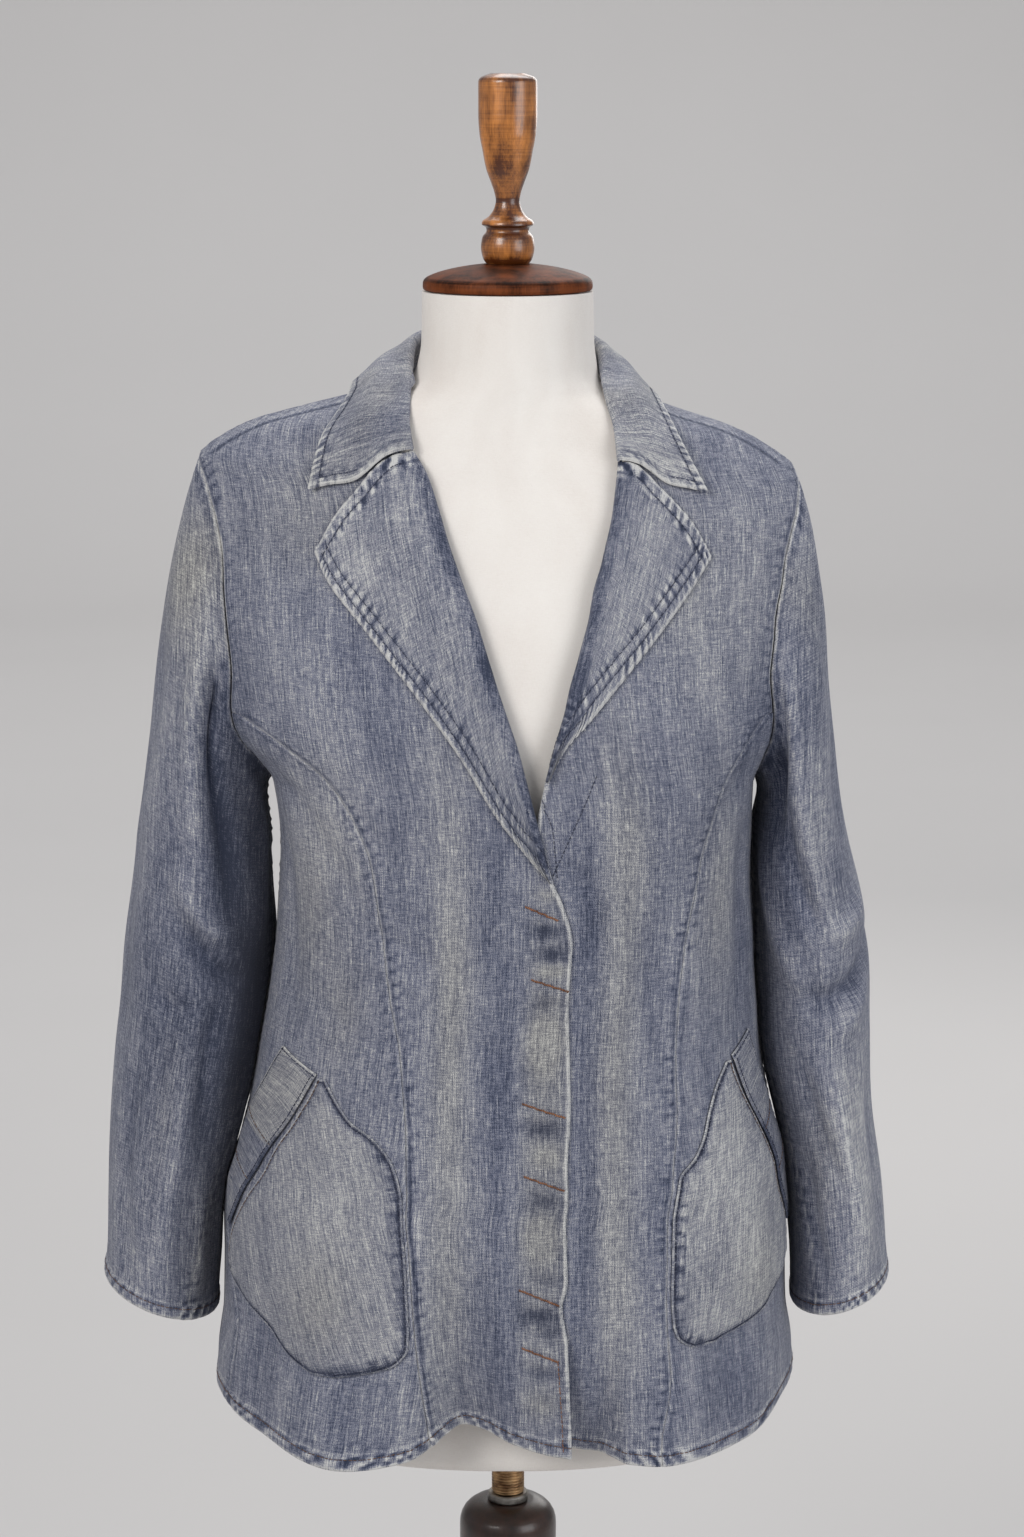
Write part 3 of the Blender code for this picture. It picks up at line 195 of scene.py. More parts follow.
# Patch pockets: the turn of the edge toward the side and toward the front.
RIGHT_POCKET = table("height side front", [
    (0.9502, -51.5, -49.3), (0.9363, -53.5, -45.6), (0.924, -55.8, -41.4), (0.915, -57.3, -35.5),
    (0.8984, -60.6, -30.0), (0.8722, -64.0, -26.8), (0.8216, -72.6, -23.4), (0.806, -73.6, -22.9),
    (0.7949, -71.0, -22.5), (0.785, -64.0, -22.2), (0.774, -57.0, -22.2), (0.762, -50.5, -24.5),
    (0.755, -46.0, -30.0), (0.75, -41.5, -36.5),
])
LEFT_POCKET = table("height side front", [
    (0.9575, 61.6, 60.0), (0.9424, 63.4, 55.8), (0.9263, 66.0, 52.8), (0.9098, 68.8, 50.4),
    (0.8974, 70.3, 47.5), (0.885, 71.6, 43.0), (0.8483, 76.0, 40.8), (0.8216, 79.5, 39.6),
    (0.806, 79.5, 39.0), (0.795, 76.0, 38.8), (0.7861, 68.0, 38.8), (0.776, 60.5, 39.4), (0.77, 54.0, 41.0),
    (0.766, 49.0, 43.5),
])
# The band beside each slanted opening: its inner and its outer edge.
RIGHT_BAND = table("share inner_turn inner_z outer_turn outer_z", [
    (0.0, -52.2, 0.953, -65.2, 0.9653), (0.25, -58.2, 0.919, -71.5, 0.938),
    (0.5, -63.4, 0.893, -79.0, 0.9028), (0.75, -69.5, 0.854, -79.8, 0.8654),
    (1.0, -73.7, 0.829, -76.6, 0.834),
])
LEFT_BAND = table("share inner_turn inner_z outer_turn outer_z", [
    (0.0, 62.4, 0.961, 71.5, 0.973), (0.25, 66.6, 0.929, 77.0, 0.943), (0.5, 70.8, 0.902, 82.0, 0.913),
    (0.75, 75.6, 0.86, 85.0, 0.872), (1.0, 80.4, 0.825, 84.5, 0.833),
])

# Sleeves below the biceps, as level oval sections, and the slope of the hem.
RIGHT_SLEEVE = table("height centre_x centre_y half_width half_depth", [
    (0.74, -0.2545, -0.014, 0.0412, 0.063), (0.8, -0.2525, -0.01, 0.0403, 0.065),
    (0.84, -0.2503, -0.006, 0.0415, 0.067), (0.904, -0.2405, 0.002, 0.0483, 0.07),
    (0.98, -0.2288, 0.011, 0.0533, 0.072), (1.0165, -0.2256, 0.013, 0.0537, 0.073),
    (1.1, -0.2192, 0.012, 0.0484, 0.074),
])
LEFT_SLEEVE = table("height centre_x centre_y half_width half_depth", [
    (0.74, 0.2445, -0.004, 0.0355, 0.064), (0.8, 0.2424, 0.0, 0.0345, 0.066),
    (0.846, 0.2392, 0.006, 0.0343, 0.069), (0.888, 0.2337, 0.011, 0.0338, 0.071),
    (0.948, 0.2255, 0.016, 0.0393, 0.0735), (1.0165, 0.2219, 0.019, 0.0402, 0.075),
    (1.1, 0.2113, 0.016, 0.0342, 0.0755),
])
SLEEVE_LEVEL = 0.795      # rows below this take the slope of the cuff
RIGHT_CUFF = (0.7672, 0.355)     # height at the section's centre, rise outward
LEFT_CUFF = (0.766, 0.33)

# Way the sleeve leaves the armhole, from the underarm (0) to the shoulder (1), and the
# lengths of the curve's tangents where it leaves the armhole and arrives at the oval.
SLEEVE_HEAD = table("share outward forward down leave arrive", [
    (0.0, 0.65, 0.0, 0.76, 0.045, 0.05), (0.2, 0.85, 0.12, 0.5, 0.055, 0.07),
    (0.45, 0.95, 0.22, 0.2, 0.085, 0.12), (0.72, 0.8, 0.16, 0.52, 0.11, 0.2),
    (1.0, 0.3, 0.0, 0.95, 0.2, 0.277),
])
RIGHT_HEAD, LEFT_HEAD = 1.0, 0.72      # how full the sleeve's head is
SLEEVE_SEAM = 0.0004
MITRE = (0.6, 0.85)             # the sleeve's edge follows the panels' edge from here up

# The dress form under the jacket, and its stand.
FORM = table("height half_width front back squareness", [
    (0.6565, 0.148, 0.098, 0.104, 2.3), (0.66, 0.156, 0.106, 0.112, 2.3),
    (0.669, 0.161, 0.1095, 0.115, 2.3), (0.71, 0.1635, 0.111, 0.118, 2.3), (0.78, 0.166, 0.112, 0.12, 2.3),
    (0.86, 0.158, 0.107, 0.114, 2.3), (0.94, 0.136, 0.1, 0.098, 2.3), (1.02, 0.124, 0.099, 0.09, 2.3),
    (1.08, 0.131, 0.111, 0.09, 2.3), (1.14, 0.142, 0.126, 0.095, 2.3), (1.19, 0.148, 0.127, 0.101, 2.3),
    (1.24, 0.15, 0.118, 0.104, 2.3), (1.28, 0.156, 0.106, 0.104, 2.3), (1.32, 0.168, 0.092, 0.1, 2.3),
    (1.345, 0.178, 0.083, 0.095, 2.3), (1.362, 0.181, 0.075, 0.089, 2.3), (1.376, 0.1765, 0.07, 0.086, 2.3),
    (1.387, 0.17, 0.0655, 0.084, 2.3), (1.396, 0.162, 0.0632, 0.082, 2.3),
    (1.4042, 0.138, 0.0614, 0.0785, 2.3), (1.4122, 0.111, 0.0604, 0.0745, 2.3),
    (1.4184, 0.0885, 0.0599, 0.07, 2.25), (1.4244, 0.0722, 0.0596, 0.066, 2.2),
    (1.431, 0.0655, 0.0594, 0.0636, 2.1), (1.44, 0.0628, 0.0592, 0.062, 2.0),
    (1.455, 0.0606, 0.059, 0.0603, 2.0), (1.4905, 0.0597, 0.0595, 0.0597, 2.0),
])
SHOULDER_DROP = 0.018       # the left shoulder hangs lower than the right
DROP_STARTS = (1.25, 1.37)
DROP_ENDS = (1.43, 1.46)

NECK_CAP = table("radius height", [
    (0.057, 1.4909), (0.0588, 1.4918), (0.0594, 1.4935), (0.0592, 1.4968),
    (0.058, 1.499), (0.052, 1.5022), (0.042, 1.5052), (0.03, 1.5076), (0.0175, 1.5093),
])
FINIAL = table("radius height", [
    (0.015, 1.5096), (0.0172, 1.513), (0.0187, 1.5208), (0.0176, 1.528),
    (0.0148, 1.5322), (0.0152, 1.5345), (0.0182, 1.5366), (0.018, 1.538),
    (0.0128, 1.5424), (0.0094, 1.5478), (0.0083, 1.553), (0.0093, 1.5585),
    (0.0115, 1.565), (0.0151, 1.575), (0.0175, 1.5873), (0.0196, 1.599),
    (0.0204, 1.612), (0.0204, 1.627), (0.0203, 1.6345), (0.0192, 1.6366),
    (0.012, 1.6398),
])
ROD_RADIUS = 0.0122
FERRULE_RADIUS = 0.015
FERRULE_HEIGHT = 0.006
COLUMN = table("radius height", [
    (0.022, 0.039), (0.0245, 0.045), (0.026, 0.06), (0.0205, 0.076), (0.019, 0.1),
    (0.0175, 0.28), (0.019, 0.455), (0.0225, 0.47), (0.0225, 0.476), (0.0205, 0.481),
    (0.023, 0.495), (0.0315, 0.518), (0.0355, 0.54), (0.0359, 0.5776), (0.0346, 0.5842),
    (0.0309, 0.5898), (0.0253, 0.5935), (0.0187, 0.5948),
])
BASE_PROFILE = table("radius height", [
    (0.184, 0.0), (0.19, 0.006), (0.19, 0.016), (0.185, 0.021),
    (0.15, 0.024), (0.06, 0.027), (0.038, 0.031), (0.032, 0.036), (0.03, 0.0386),
])

# ---------------------------------------------------------------- arithmetic

def hermite(start, end, leave, arrive, t):
    """The cubic from start to end with these slopes at its ends, t from 0 to 1."""
    return (start * (1 + 2 * t) * (1 - t) ** 2 + leave * t * (1 - t) ** 2
            + end * t * t * (3 - 2 * t) + arrive * t * t * (t - 1))


def smooth(columns, name, at):
    """A column read between its rows, by the first column, on a curve that never overshoots."""
    xs, ys = next(iter(columns.values())), columns[name]
    width = np.diff(xs)
    slope = np.diff(ys) / width
    tangent = np.zeros_like(ys)
    tangent[0], tangent[-1] = slope[0], slope[-1]
    same = slope[:-1] * slope[1:] > 0
    before = 2 * width[1:] + width[:-1]
    after = width[1:] + 2 * width[:-1]
    safe_a = np.where(same, slope[:-1], 1.0)
    safe_b = np.where(same, slope[1:], 1.0)
    tangent[1:-1] = np.where(same, (before + after) / (before / safe_a + after / safe_b), 0.0)
    at = np.asarray(at, dtype=float)
    i = np.clip(np.searchsorted(xs, at) - 1, 0, len(xs) - 2)
    t = np.clip((at - xs[i]) / width[i], 0.0, 1.0)
    return hermite(ys[i], ys[i + 1], tangent[i] * width[i], tangent[i + 1] * width[i], t)


def read(columns, names, at):
    """Several columns read at the same places."""
    return [smooth(columns, name, at) for name in names.split()]


def soft(t):
    return t * t * (3 - 2 * t)


def ease(low, high, at):
    """0 below low, 1 above high, and smooth between."""
    return soft(np.clip((np.asarray(at, dtype=float) - low) / (high - low), 0.0, 1.0))


def fade(low, high, at):
    """1 below low, 0 above high, and smooth between."""
    return 1 - ease(low, high, at)


def unit(vectors):
    return vectors / np.maximum(np.linalg.norm(vectors, axis=-1, keepdims=True), 1e-12)


def mix(a, b, share):
    return a + (b - a) * share


def run(points, axis):
    """Length of the path to each point of a grid, along its rows or its columns."""
    steps = np.linalg.norm(np.diff(points, axis=axis), axis=-1)
    pad = [(0, 0), (0, 0)]
    pad[axis] = (1, 0)
    return np.pad(np.cumsum(steps, axis=axis), pad)


def line_run(line):
    return run(line[None], 1)[0]


def rising(*stretches):
    """Heights from one end of each stretch to the next, at that stretch's spacing."""
    parts = [np.arange(low, high - step / 2, step) for low, high, step in stretches]
    return np.append(np.concatenate(parts), stretches[-1][1])


def settle(points):
    """Lower one shoulder: points at +X go down and points at -X go up."""
    points = np.array(points, dtype=float)
    z = points[..., 2]
    weight = ease(*DROP_STARTS, z) * fade(*DROP_ENDS, z)
    points[..., 2] = z - SHOULDER_DROP * points[..., 0] * weight
    return points


# ------------------------------------------------------- surface of the body

SHAPE = "half_width front back front_square back_square"


def superellipse(turn, half_width, front, back, front_square, back_square):
    """Radius r = (|sin/a|^n + |cos/d|^n)^(-1/n). The front and the back have their own d and n."""
    s, c = np.sin(np.radians(turn)), np.cos(np.radians(turn))
    depth, n = np.where(c > 0, front, back), np.where(c > 0, front_square, back_square)
    return (np.abs(s / half_width) ** n + np.abs(c / depth) ** n) ** (-1 / n)


def at_turn(turn, radius, height, centre=0.0):
    """The point at this turn and distance from the upright axis through x = centre."""
    s, c = np.sin(np.radians(turn)), np.cos(np.radians(turn))
    return np.stack(np.broadcast_arrays(centre + radius * s, -radius * c, height), axis=-1)


def section_radius(turn, height):
    return superellipse(turn, *read(BODY, SHAPE, height))


def hem_height(turn):
    return smooth(HEM, "height", wrap(turn))


def wrap(turn):
    return (np.asarray(turn, dtype=float) + 180.0) % 360.0 - 180.0


def body_raw(turn, height):
    """The section's point at each turn and height, moved out by the hem's flares."""
    around = wrap(turn)
    hem, out, reach = read(HEM, "height out reach", around)
    rise = np.clip((reach - height) / (reach - hem), 0.0, 1.2)
    radius = section_radius(turn, height) + out * rise ** HEM_FADE
    return at_turn(turn, radius, height, smooth(BODY, "centre_x", height))


def outward(surface, u, v, step_u, step_v):
    """Unit normal of surface(u, v) that points away from the upright axis."""
    across = surface(u + step_u, v) - surface(u - step_u, v)
    along = surface(u, v + step_v) - surface(u, v - step_v)
    return unit(np.cross(across, along))


def body(turn, height, out=0.0):
    """The jacket's outer face, or a surface moved out from it."""
    turn, height = np.broadcast_arrays(np.asarray(turn, float), np.asarray(height, float))
    normal = outward(body_raw, turn, height, 0.2, STEP)
    return settle(body_raw(turn, height) + normal * np.asarray(out)[..., None])


def turn_at_depth(y, height, side):
    """Turn of the point of a section that lies at depth y, on the side -1 or +1."""
    half_width, front, back, front_n, back_n = read(BODY, SHAPE, height)
    depth, n = np.where(y < 0, front, back), np.where(y < 0, front_n, back_n)
    x = half_width * (1 - np.clip(np.abs(y) / depth, 0, 1) ** n) ** (1 / n)
    return side * np.degrees(np.arctan2(x, -y))


def turn_at_x(x, height):
    """Turn of the point of the front half of a section at a given x."""
    half_width, front, centre, n = read(BODY, "half_width front centre_x front_square", height)
    share = np.clip(np.abs((x - centre) / half_width), 0, 1)
    return np.degrees(np.arctan2(x - centre, front * (1 - share ** n) ** (1 / n)))


def outer_limit(height, side, edge):
    """Turn of the armhole, or above the tip of the shoulder seam."""
    y = np.where(height > SHOULDER_TIP, SHOULDER_SEAM_Y, smooth(ARMHOLE, edge, height))
    return turn_at_depth(y, height, side)


def arc_turn(length, turn, height):
    """The turn that a short length measured round the body makes."""
    return np.degrees(length / section_radius(turn, height))


def spread(low, high, height, shares):
    """Turns between two edges, at these shares of the way along each level section."""
    turn = low[:, None] + (high - low)[:, None] * np.linspace(0, 1, 121)
    length = run(body_raw(turn, height[:, None]), 1)
    return np.array([np.interp(shares * far[-1], far, row) for far, row in zip(length, turn)])


def girth(turn, height, middle):
    """How far round the body each turn is from a middle one, along its level section."""
    fine = np.arange(-120.0, 481.0, 3.0)
    far = run(body_raw(fine, height[:, None]), 1)
    return np.array([np.interp(own, fine, row) - np.interp(middle, fine, row) for own, row in zip(turn, far)])


def under_lap(turn, height):
    """How far the left front is pressed in under the right one."""
    here = fade(*UNDER_TURNS, turn) * fade(*UNDER_TOP, height)
    fold = np.clip((UNDER_FOLD_TOP - height) / (UNDER_FOLD_TOP - hem_height(turn)), 0, 1.2) ** HEM_FADE
    return -(UNDER_DEPTH + UNDER_FOLD * fold) * here


# ------------------------------------------------- unevenness, folds and wear

def waver(at, seed, size):
    """A smooth random line from -1 to 1: random levels `size` apart, eased between."""
    levels = np.random.default_rng(seed).uniform(-1, 1, 512)
    at = np.asarray(at, dtype=float) / size + 97.3
    cell = np.floor(at).astype(int)
    return mix(levels[cell % 512], levels[(cell + 1) % 512], soft(at - cell))


def cloud(x, y, seed, size_x, size_y):
    """A smooth random surface from -1 to 1: random levels on a lattice, eased between."""
    levels = np.random.default_rng(seed).uniform(-1, 1, (64, 64))
    x, y = np.asarray(x) / size_x + 31.7, np.asarray(y) / size_y + 17.3
    i, j = np.floor(x).astype(int), np.floor(y).astype(int)
    s, t = soft(x - i), soft(y - j)
    low, high = (mix(levels[i % 64, k % 64], levels[(i + 1) % 64, k % 64], s) for k in (j, j + 1))
    return mix(low, high, t)


def hump(at, middle, width):
    """A bell: e to the power of minus the square of the distance over the width."""
    return np.exp(-((at - middle) / width) ** 2)


def between(at, low, high):
    """1 between low and high, easing to 0 outside them within a third of the span."""
    room = (high - low) / 3
    return ease(low - room, low + room, at) * fade(high - room, high + room, at)


def ropes(along, seed, wave):
    """Puckers along a seam: a sine and its octave, whose phases and strength wander."""
    phase = along / wave + 0.8 * waver(along, seed, 2.2 * wave)
    octave = 0.45 * np.sin(4 * np.pi * phase + 2.2 * waver(along, seed + 2, 3.1 * wave))
    return (np.sin(2 * np.pi * phase) + octave) * (0.55 + 0.45 * waver(along, seed + 1, 2.7 * wave))


def folds(rows, x, y):
    """Soft folds. Each is a bowed line from a to b with a bell for its section, that
    dies away at both ends: depth * bell(distance / width) * ease in * ease out."""
    total = np.zeros(np.broadcast(x, y).shape)
    for ax, ay, bx, by, bow, width, depth in zip(*rows.values()):
        length = np.hypot(bx - ax, by - ay)
        ux, uy = (bx - ax) / length, (by - ay) / length
        t = ((x - ax) * ux + (y - ay) * uy) / length
        aside = (y - ay) * ux - (x - ax) * uy - 4 * bow * t * (1 - t)
        total = total + depth * hump(aside, 0.0, width) * ease(-0.18, 0.28, t) * fade(0.72, 1.18, t)
    return total


def patches(rows, x, y):
    """Worn and dark places: bells in two directions, with the tone and warmth of each."""
    marks = np.zeros((2, *np.broadcast(x, y).shape))
    for at_x, at_y, size_x, size_y, tone, warm in zip(*rows.values()):
        here = hump(x, at_x, size_x) * hump(y, at_y, size_y)
        marks += np.stack([tone * here, warm * here])
    return marks


DEGREE = 0.0027        # metres of cloth to one degree of turn, about the mean
FOLD_STRENGTH = 1.25   # what the body's folds are multiplied by
# The folds darken the tone in their hollows and lighten it on their crests: painted shade and painted
# highlight.
FOLD_SHADING_TONE = 40         # tone to one metre of their height
CIRCLES = (-360.0, 0.0, 360.0)

# Folds of the body: turn and height of both ends, bow, width and depth in metres.
BODY_FOLDS = table("ax ay bx by bow width depth", [
    (-66, 1.165, -44, 1.075, 0.006, 0.01, -0.002), (-60, 1.19, -36, 1.12, 0.004, 0.009, -0.0012),
    (-70, 1.12, -64, 0.985, -0.004, 0.011, -0.0028), (-42, 1.062, -20, 1.034, 0.003, 0.006, -0.001),
    (-44, 1.04, -24, 1.018, 0.002, 0.006, 0.0009), (-62, 1.01, -44, 0.99, 0.003, 0.007, -0.0013),
    (-22, 0.705, -17, 0.9, 0.004, 0.013, 0.0024), (-1, 0.715, -3, 0.93, -0.003, 0.011, 0.0016),
    (-33, 0.7, -31, 0.79, 0.003, 0.012, -0.0022), (-57, 0.705, -52, 0.8, 0.004, 0.014, -0.003),
    (-8, 1.06, 3, 1.03, -0.003, 0.007, -0.0012), (-10, 0.985, 3, 0.96, 0.003, 0.008, -0.0009),
    (-48, 1.33, -44, 1.23, 0.004, 0.014, -0.0016), (-64, 1.33, -52, 1.24, 0.005, 0.01, -0.0014),
    (17, 1.108, 23, 1.052, 0.004, 0.008, -0.0034), (27, 1.09, 31, 1.01, -0.003, 0.01, 0.0014),
    (20, 1.02, 20, 0.76, 0.003, 0.008, -0.0012), (32, 1.04, 44, 1.012, 0.002, 0.006, -0.0011),
    (48, 1.05, 62, 1.01, 0.003, 0.007, -0.0014), (70, 1.12, 66, 0.99, 0.004, 0.011, -0.0026),
    (66, 1.17, 50, 1.1, -0.005, 0.009, -0.0018), (50, 1.33, 46, 1.24, -0.003, 0.013, -0.0014),
    (62, 1.33, 54, 1.25, -0.005, 0.01, -0.0012), (22, 0.7, 24, 0.86, 0.003, 0.012, 0.0018),
    (50, 0.7, 49, 0.79, -0.003, 0.013, -0.0026), (66, 0.715, 62, 0.83, 0.004, 0.012, 0.0018),
    (112, 1.23, 148, 1.12, 0.01, 0.012, -0.0034), (108, 1.19, 134, 1.09, 0.008, 0.01, -0.0024),
    (118, 1.13, 112, 0.96, 0.006, 0.014, -0.003), (162, 1.11, 156, 0.85, 0.006, 0.017, -0.0046),
    (150, 1.05, 172, 1.02, 0.004, 0.009, -0.0018), (186, 1.045, 212, 1.07, -0.004, 0.008, -0.0016),
    (204, 1.12, 206, 0.87, -0.007, 0.015, -0.0038), (180, 0.99, 181, 0.72, 0.004, 0.016, -0.0028),
    (142, 0.71, 146, 0.88, 0.005, 0.014, -0.0036), (222, 0.705, 217, 0.85, -0.004, 0.015, -0.0038),
    (246, 1.24, 212, 1.12, -0.01, 0.012, -0.0032), (250, 1.18, 226, 1.09, -0.006, 0.01, -0.0022),
    (243, 1.12, 250, 0.96, 0.005, 0.013, -0.0028), (150, 1.345, 208, 1.35, -0.006, 0.01, -0.0012),
])
# Fades of the body: turn, height, their reach in each, tone and warmth. The dark ones under
# the armholes (turn -70 and 66) and below the lapels (-30 and 38, at 1.18) are painted
# shade; those on the left front beside the right front's edge (20 and 21) are painted
# shadow and partly unfaded cloth.
BODY_FADES_AND_SHADE = table("x y size_x size_y tone warm", [
    (-17, 1.16, 7, 0.08, 0.2, 0.3), (-18, 1.03, 5, 0.07, 0.14, 0.7), (-16, 0.93, 5, 0.08, 0.14, 0.6),
    (-14, 0.8, 6, 0.08, 0.2, 0.6), (-3, 0.95, 4, 0.11, -0.3, 0.0), (-1, 0.8, 4, 0.09, -0.26, 0.0),
    (-6, 1.09, 6, 0.05, -0.18, 0.0), (-30, 1.18, 6, 0.06, -0.12, 0.0), (-23, 1.24, 6, 0.04, 0.15, 0.1),
    (-52, 1.22, 9, 0.06, 0.12, 0.0), (-60, 1.34, 12, 0.04, 0.06, 0.5), (-70, 1.17, 7, 0.045, -0.36, 0.0),
    (-59, 1.07, 8, 0.055, 0.18, 0.6), (-48, 1.13, 8, 0.055, 0.3, 0.2), (-68, 0.995, 7, 0.045, -0.16, 0.0),
    (-47, 1.0, 6, 0.04, 0.12, 0.5), (-40, 0.726, 20, 0.018, 0.02, 0.0), (-62, 0.74, 8, 0.03, -0.1, 0.0),
    (30, 1.11, 6, 0.09, 0.2, 0.7), (29, 0.97, 5, 0.07, 0.1, 0.6), (60, 1.3, 15, 0.06, 0.22, 0.2),
    (27, 0.84, 5, 0.11, 0.24, 0.7), (20, 1.06, 4, 0.05, -0.4, 0.0), (21, 0.95, 3, 0.09, -0.22, 0.0),
    (20, 0.79, 3, 0.09, -0.26, 0.0), (38, 1.18, 6, 0.05, -0.12, 0.0), (46, 1.315, 9, 0.045, 0.14, 0.5),
    (52, 1.23, 8, 0.05, 0.1, 0.1), (66, 1.185, 6, 0.05, -0.34, 0.0), (58, 1.075, 7, 0.065, 0.2, 0.6),
    (72, 1.0, 6, 0.07, -0.12, 0.0), (45, 0.733, 18, 0.02, -0.2, 0.0), (68, 0.73, 7, 0.025, 0.05, 0.0),
    (150, 1.25, 14, 0.07, 0.16, 0.3), (212, 1.25, 14, 0.07, 0.16, 0.3), (180, 1.15, 16, 0.09, -0.1, 0.0),
    (146, 0.96, 9, 0.12, 0.2, 0.5), (214, 0.96, 9, 0.12, 0.2, 0.5), (180, 0.86, 8, 0.13, -0.16, 0.0),
    (118, 1.05, 8, 0.09, -0.16, 0.0), (244, 1.05, 8, 0.09, -0.16, 0.0),
])


def in_metres(rows, degree):
    """A table of folds whose turns are made metres of cloth."""
    return {**rows, "ax": rows["ax"] * degree, "bx": rows["bx"] * degree}


def creases(rows, turn, height, degree):
    """Folds given by turn, the same whether a turn is written as t or t + 360."""
    return sum(folds(in_metres(rows, degree), (turn + whole) * degree, height) for whole in CIRCLES)


def body_folds(turn, height):
    """How far folds and a slow unevenness move the body's face out."""
    found = creases(BODY_FOLDS, turn, height, DEGREE)
    return FOLD_STRENGTH * found + 0.001 * cloud(wrap(turn) * DEGREE, height, 5, 0.03, 0.045)


def cloth(turn, height, out=0.0):
    """The body's outer face with its folds, moved out."""
    turn, height = np.broadcast_arrays(np.asarray(turn, float), np.asarray(height, float))
    return body(turn, height, out + body_folds(turn, height))


# ------------------------------------------------------- finishes of an edge

def seam_finish(away, along, seed, turnings=1.0, white=1.0, dark=1.0):
    """Relief and tone beside a plain seam. The edge turns down over 1.6 mm, the
    turnings under it lift the cloth 5 mm from it, and both pucker."""
    rope = ropes(along, seed, 0.0088)
    relief = -0.0005 * fade(0.0, 0.0014, away) + 0.0006 * turnings * hump(away, 0.0048, 0.0032)
    relief = relief + 0.00042 * rope * between(away, 0.0012, 0.0095)
    tone = 0.85 * white * fade(0.0007, 0.0022, away) * (0.74 + 0.26 * waver(along, seed + 3, 0.012))
    tone = tone - 0.74 * dark * np.clip(-rope, 0, 1) * between(away, 0.002, 0.009)
    tone = tone - 0.34 * dark * hump(away, 0.0032, 0.0012)
    return relief, tone + 0.12 * turnings * hump(away, 0.0062, 0.003)


def hem_finish(away, along, seed, width=0.0105):
    """Relief and tone of a hem turned up twice. Its band is 0.9 mm thicker, twists in
    slanting ropes, and is pressed down along its stitching."""
    rope = ropes(along + 0.8 * away, seed, 0.0112)
    inside = fade(width - 0.001, width + 0.0008, away)
    relief = inside * (0.001 + 0.0007 * rope * hump(away, width / 2, width / 2.1))
    relief = relief - 0.0007 * fade(0.0, 0.0014, away) - 0.0006 * hump(away, width - 0.0022, 0.0009)
    relief = relief + 0.0004 * ropes(along, seed + 5, 0.009) * between(away, width + 0.001, width + 0.01)
    tone = 0.8 * fade(0.0006, 0.0028, away) + inside * (0.98 * rope + 0.06)
    tone = tone + 0.36 * hump(away, width + 0.001, 0.0012) - 0.38 * hump(away, width - 0.0022, 0.0012)
    return relief, tone - 0.24 * np.clip(-rope, 0, 1) * between(away, width + 0.002, width + 0.012)


def folded_finish(away, along, seed):
    """Relief and tone of a free folded edge: a pale roll 3 mm wide with a dark line behind."""
    relief = 0.0008 * hump(away, 0.0018, 0.0016) - 0.0008 * fade(0.0, 0.0013, away)
    tone = 0.9 * fade(0.002, 0.0033, away) * (0.8 + 0.2 * waver(along, seed, 0.009))
    return relief, tone - 0.22 * hump(away, 0.0046, 0.0013)


def stitched_finish(away, along, seed, rows_at, strength=1.0):
    """Relief and tone of a faced edge: pressed down along each row of stitches and
    roped between the rows and the edge."""
    last = rows_at[-1]
    rope = ropes(along + 0.25 * away, seed, 0.0066)
    other = ropes(along - 0.2 * away, seed + 9, 0.0082)
    near = fade(rows_at[0] - 0.0016, rows_at[0] + 0.0004, away)
    after = between(away, rows_at[0], last + 0.004)
    relief = -0.0008 * fade(0.0, 0.0014, away) + strength * (0.0005 * rope * near + 0.00025 * other * after)
    tone = 0.95 * fade(0.0008, 0.0026, away) * (0.85 + 0.15 * waver(along, seed + 3, 0.01))
    tone = tone + strength * (0.92 * rope * near + 0.58 * other * after + 0.05 * (near + after))
    for at in rows_at:
        relief = relief - 0.0006 * hump(away, at, 0.0008)
        tone = tone - 0.46 * hump(away, at, 0.0012)
    return relief, tone


# --------------------------------------------------------- grids and meshes

def dense_ends(count, squeeze=0.68):
    """Shares from 0 to 1 that lie closer together toward both ends."""
    t = np.linspace(0, 1, count + 1)
    return t - squeeze * np.sin(2 * np.pi * t) / (2 * np.pi)


def grid_normal(points, wraps=False):
    """Across the columns times up the rows."""
    if wraps:
        across = np.roll(points, -1, axis=1) - np.roll(points, 1, axis=1)
    else:
        across = np.gradient(points, axis=1)
    return unit(np.cross(across, np.gradient(points, axis=0)))


def beside(points, line):
    """Distance from each point to the nearest point of a line, and how far along it that is."""
    far, flat = line_run(line), points.reshape(-1, 3)
    parts = [np.linalg.norm(some[:, None] - line[None], axis=-1) for some in np.array_split(flat, 12)]
    away = np.concatenate([part.min(axis=1) for part in parts])
    at = np.concatenate([far[part.argmin(axis=1)] for part in parts])
    return away.reshape(points.shape[:-1]), at.reshape(points.shape[:-1])


def border(rows, columns, wraps):
    """Loops of point numbers round a grid, each with the numbers of the points inside it."""
    number = np.arange(rows * columns).reshape(rows, columns)
    if wraps:
        return [(number[0], number[1]), (number[-1][::-1], number[-2][::-1])]
    loop = np.concatenate([number[0, :-1], number[:-1, -1], number[-1, :0:-1], number[:0:-1, 0]])
    near = np.concatenate([number[1, :-1], number[:-1, -2], number[-2, :0:-1], number[:0:-1, 1]])
    return [(loop, near)]


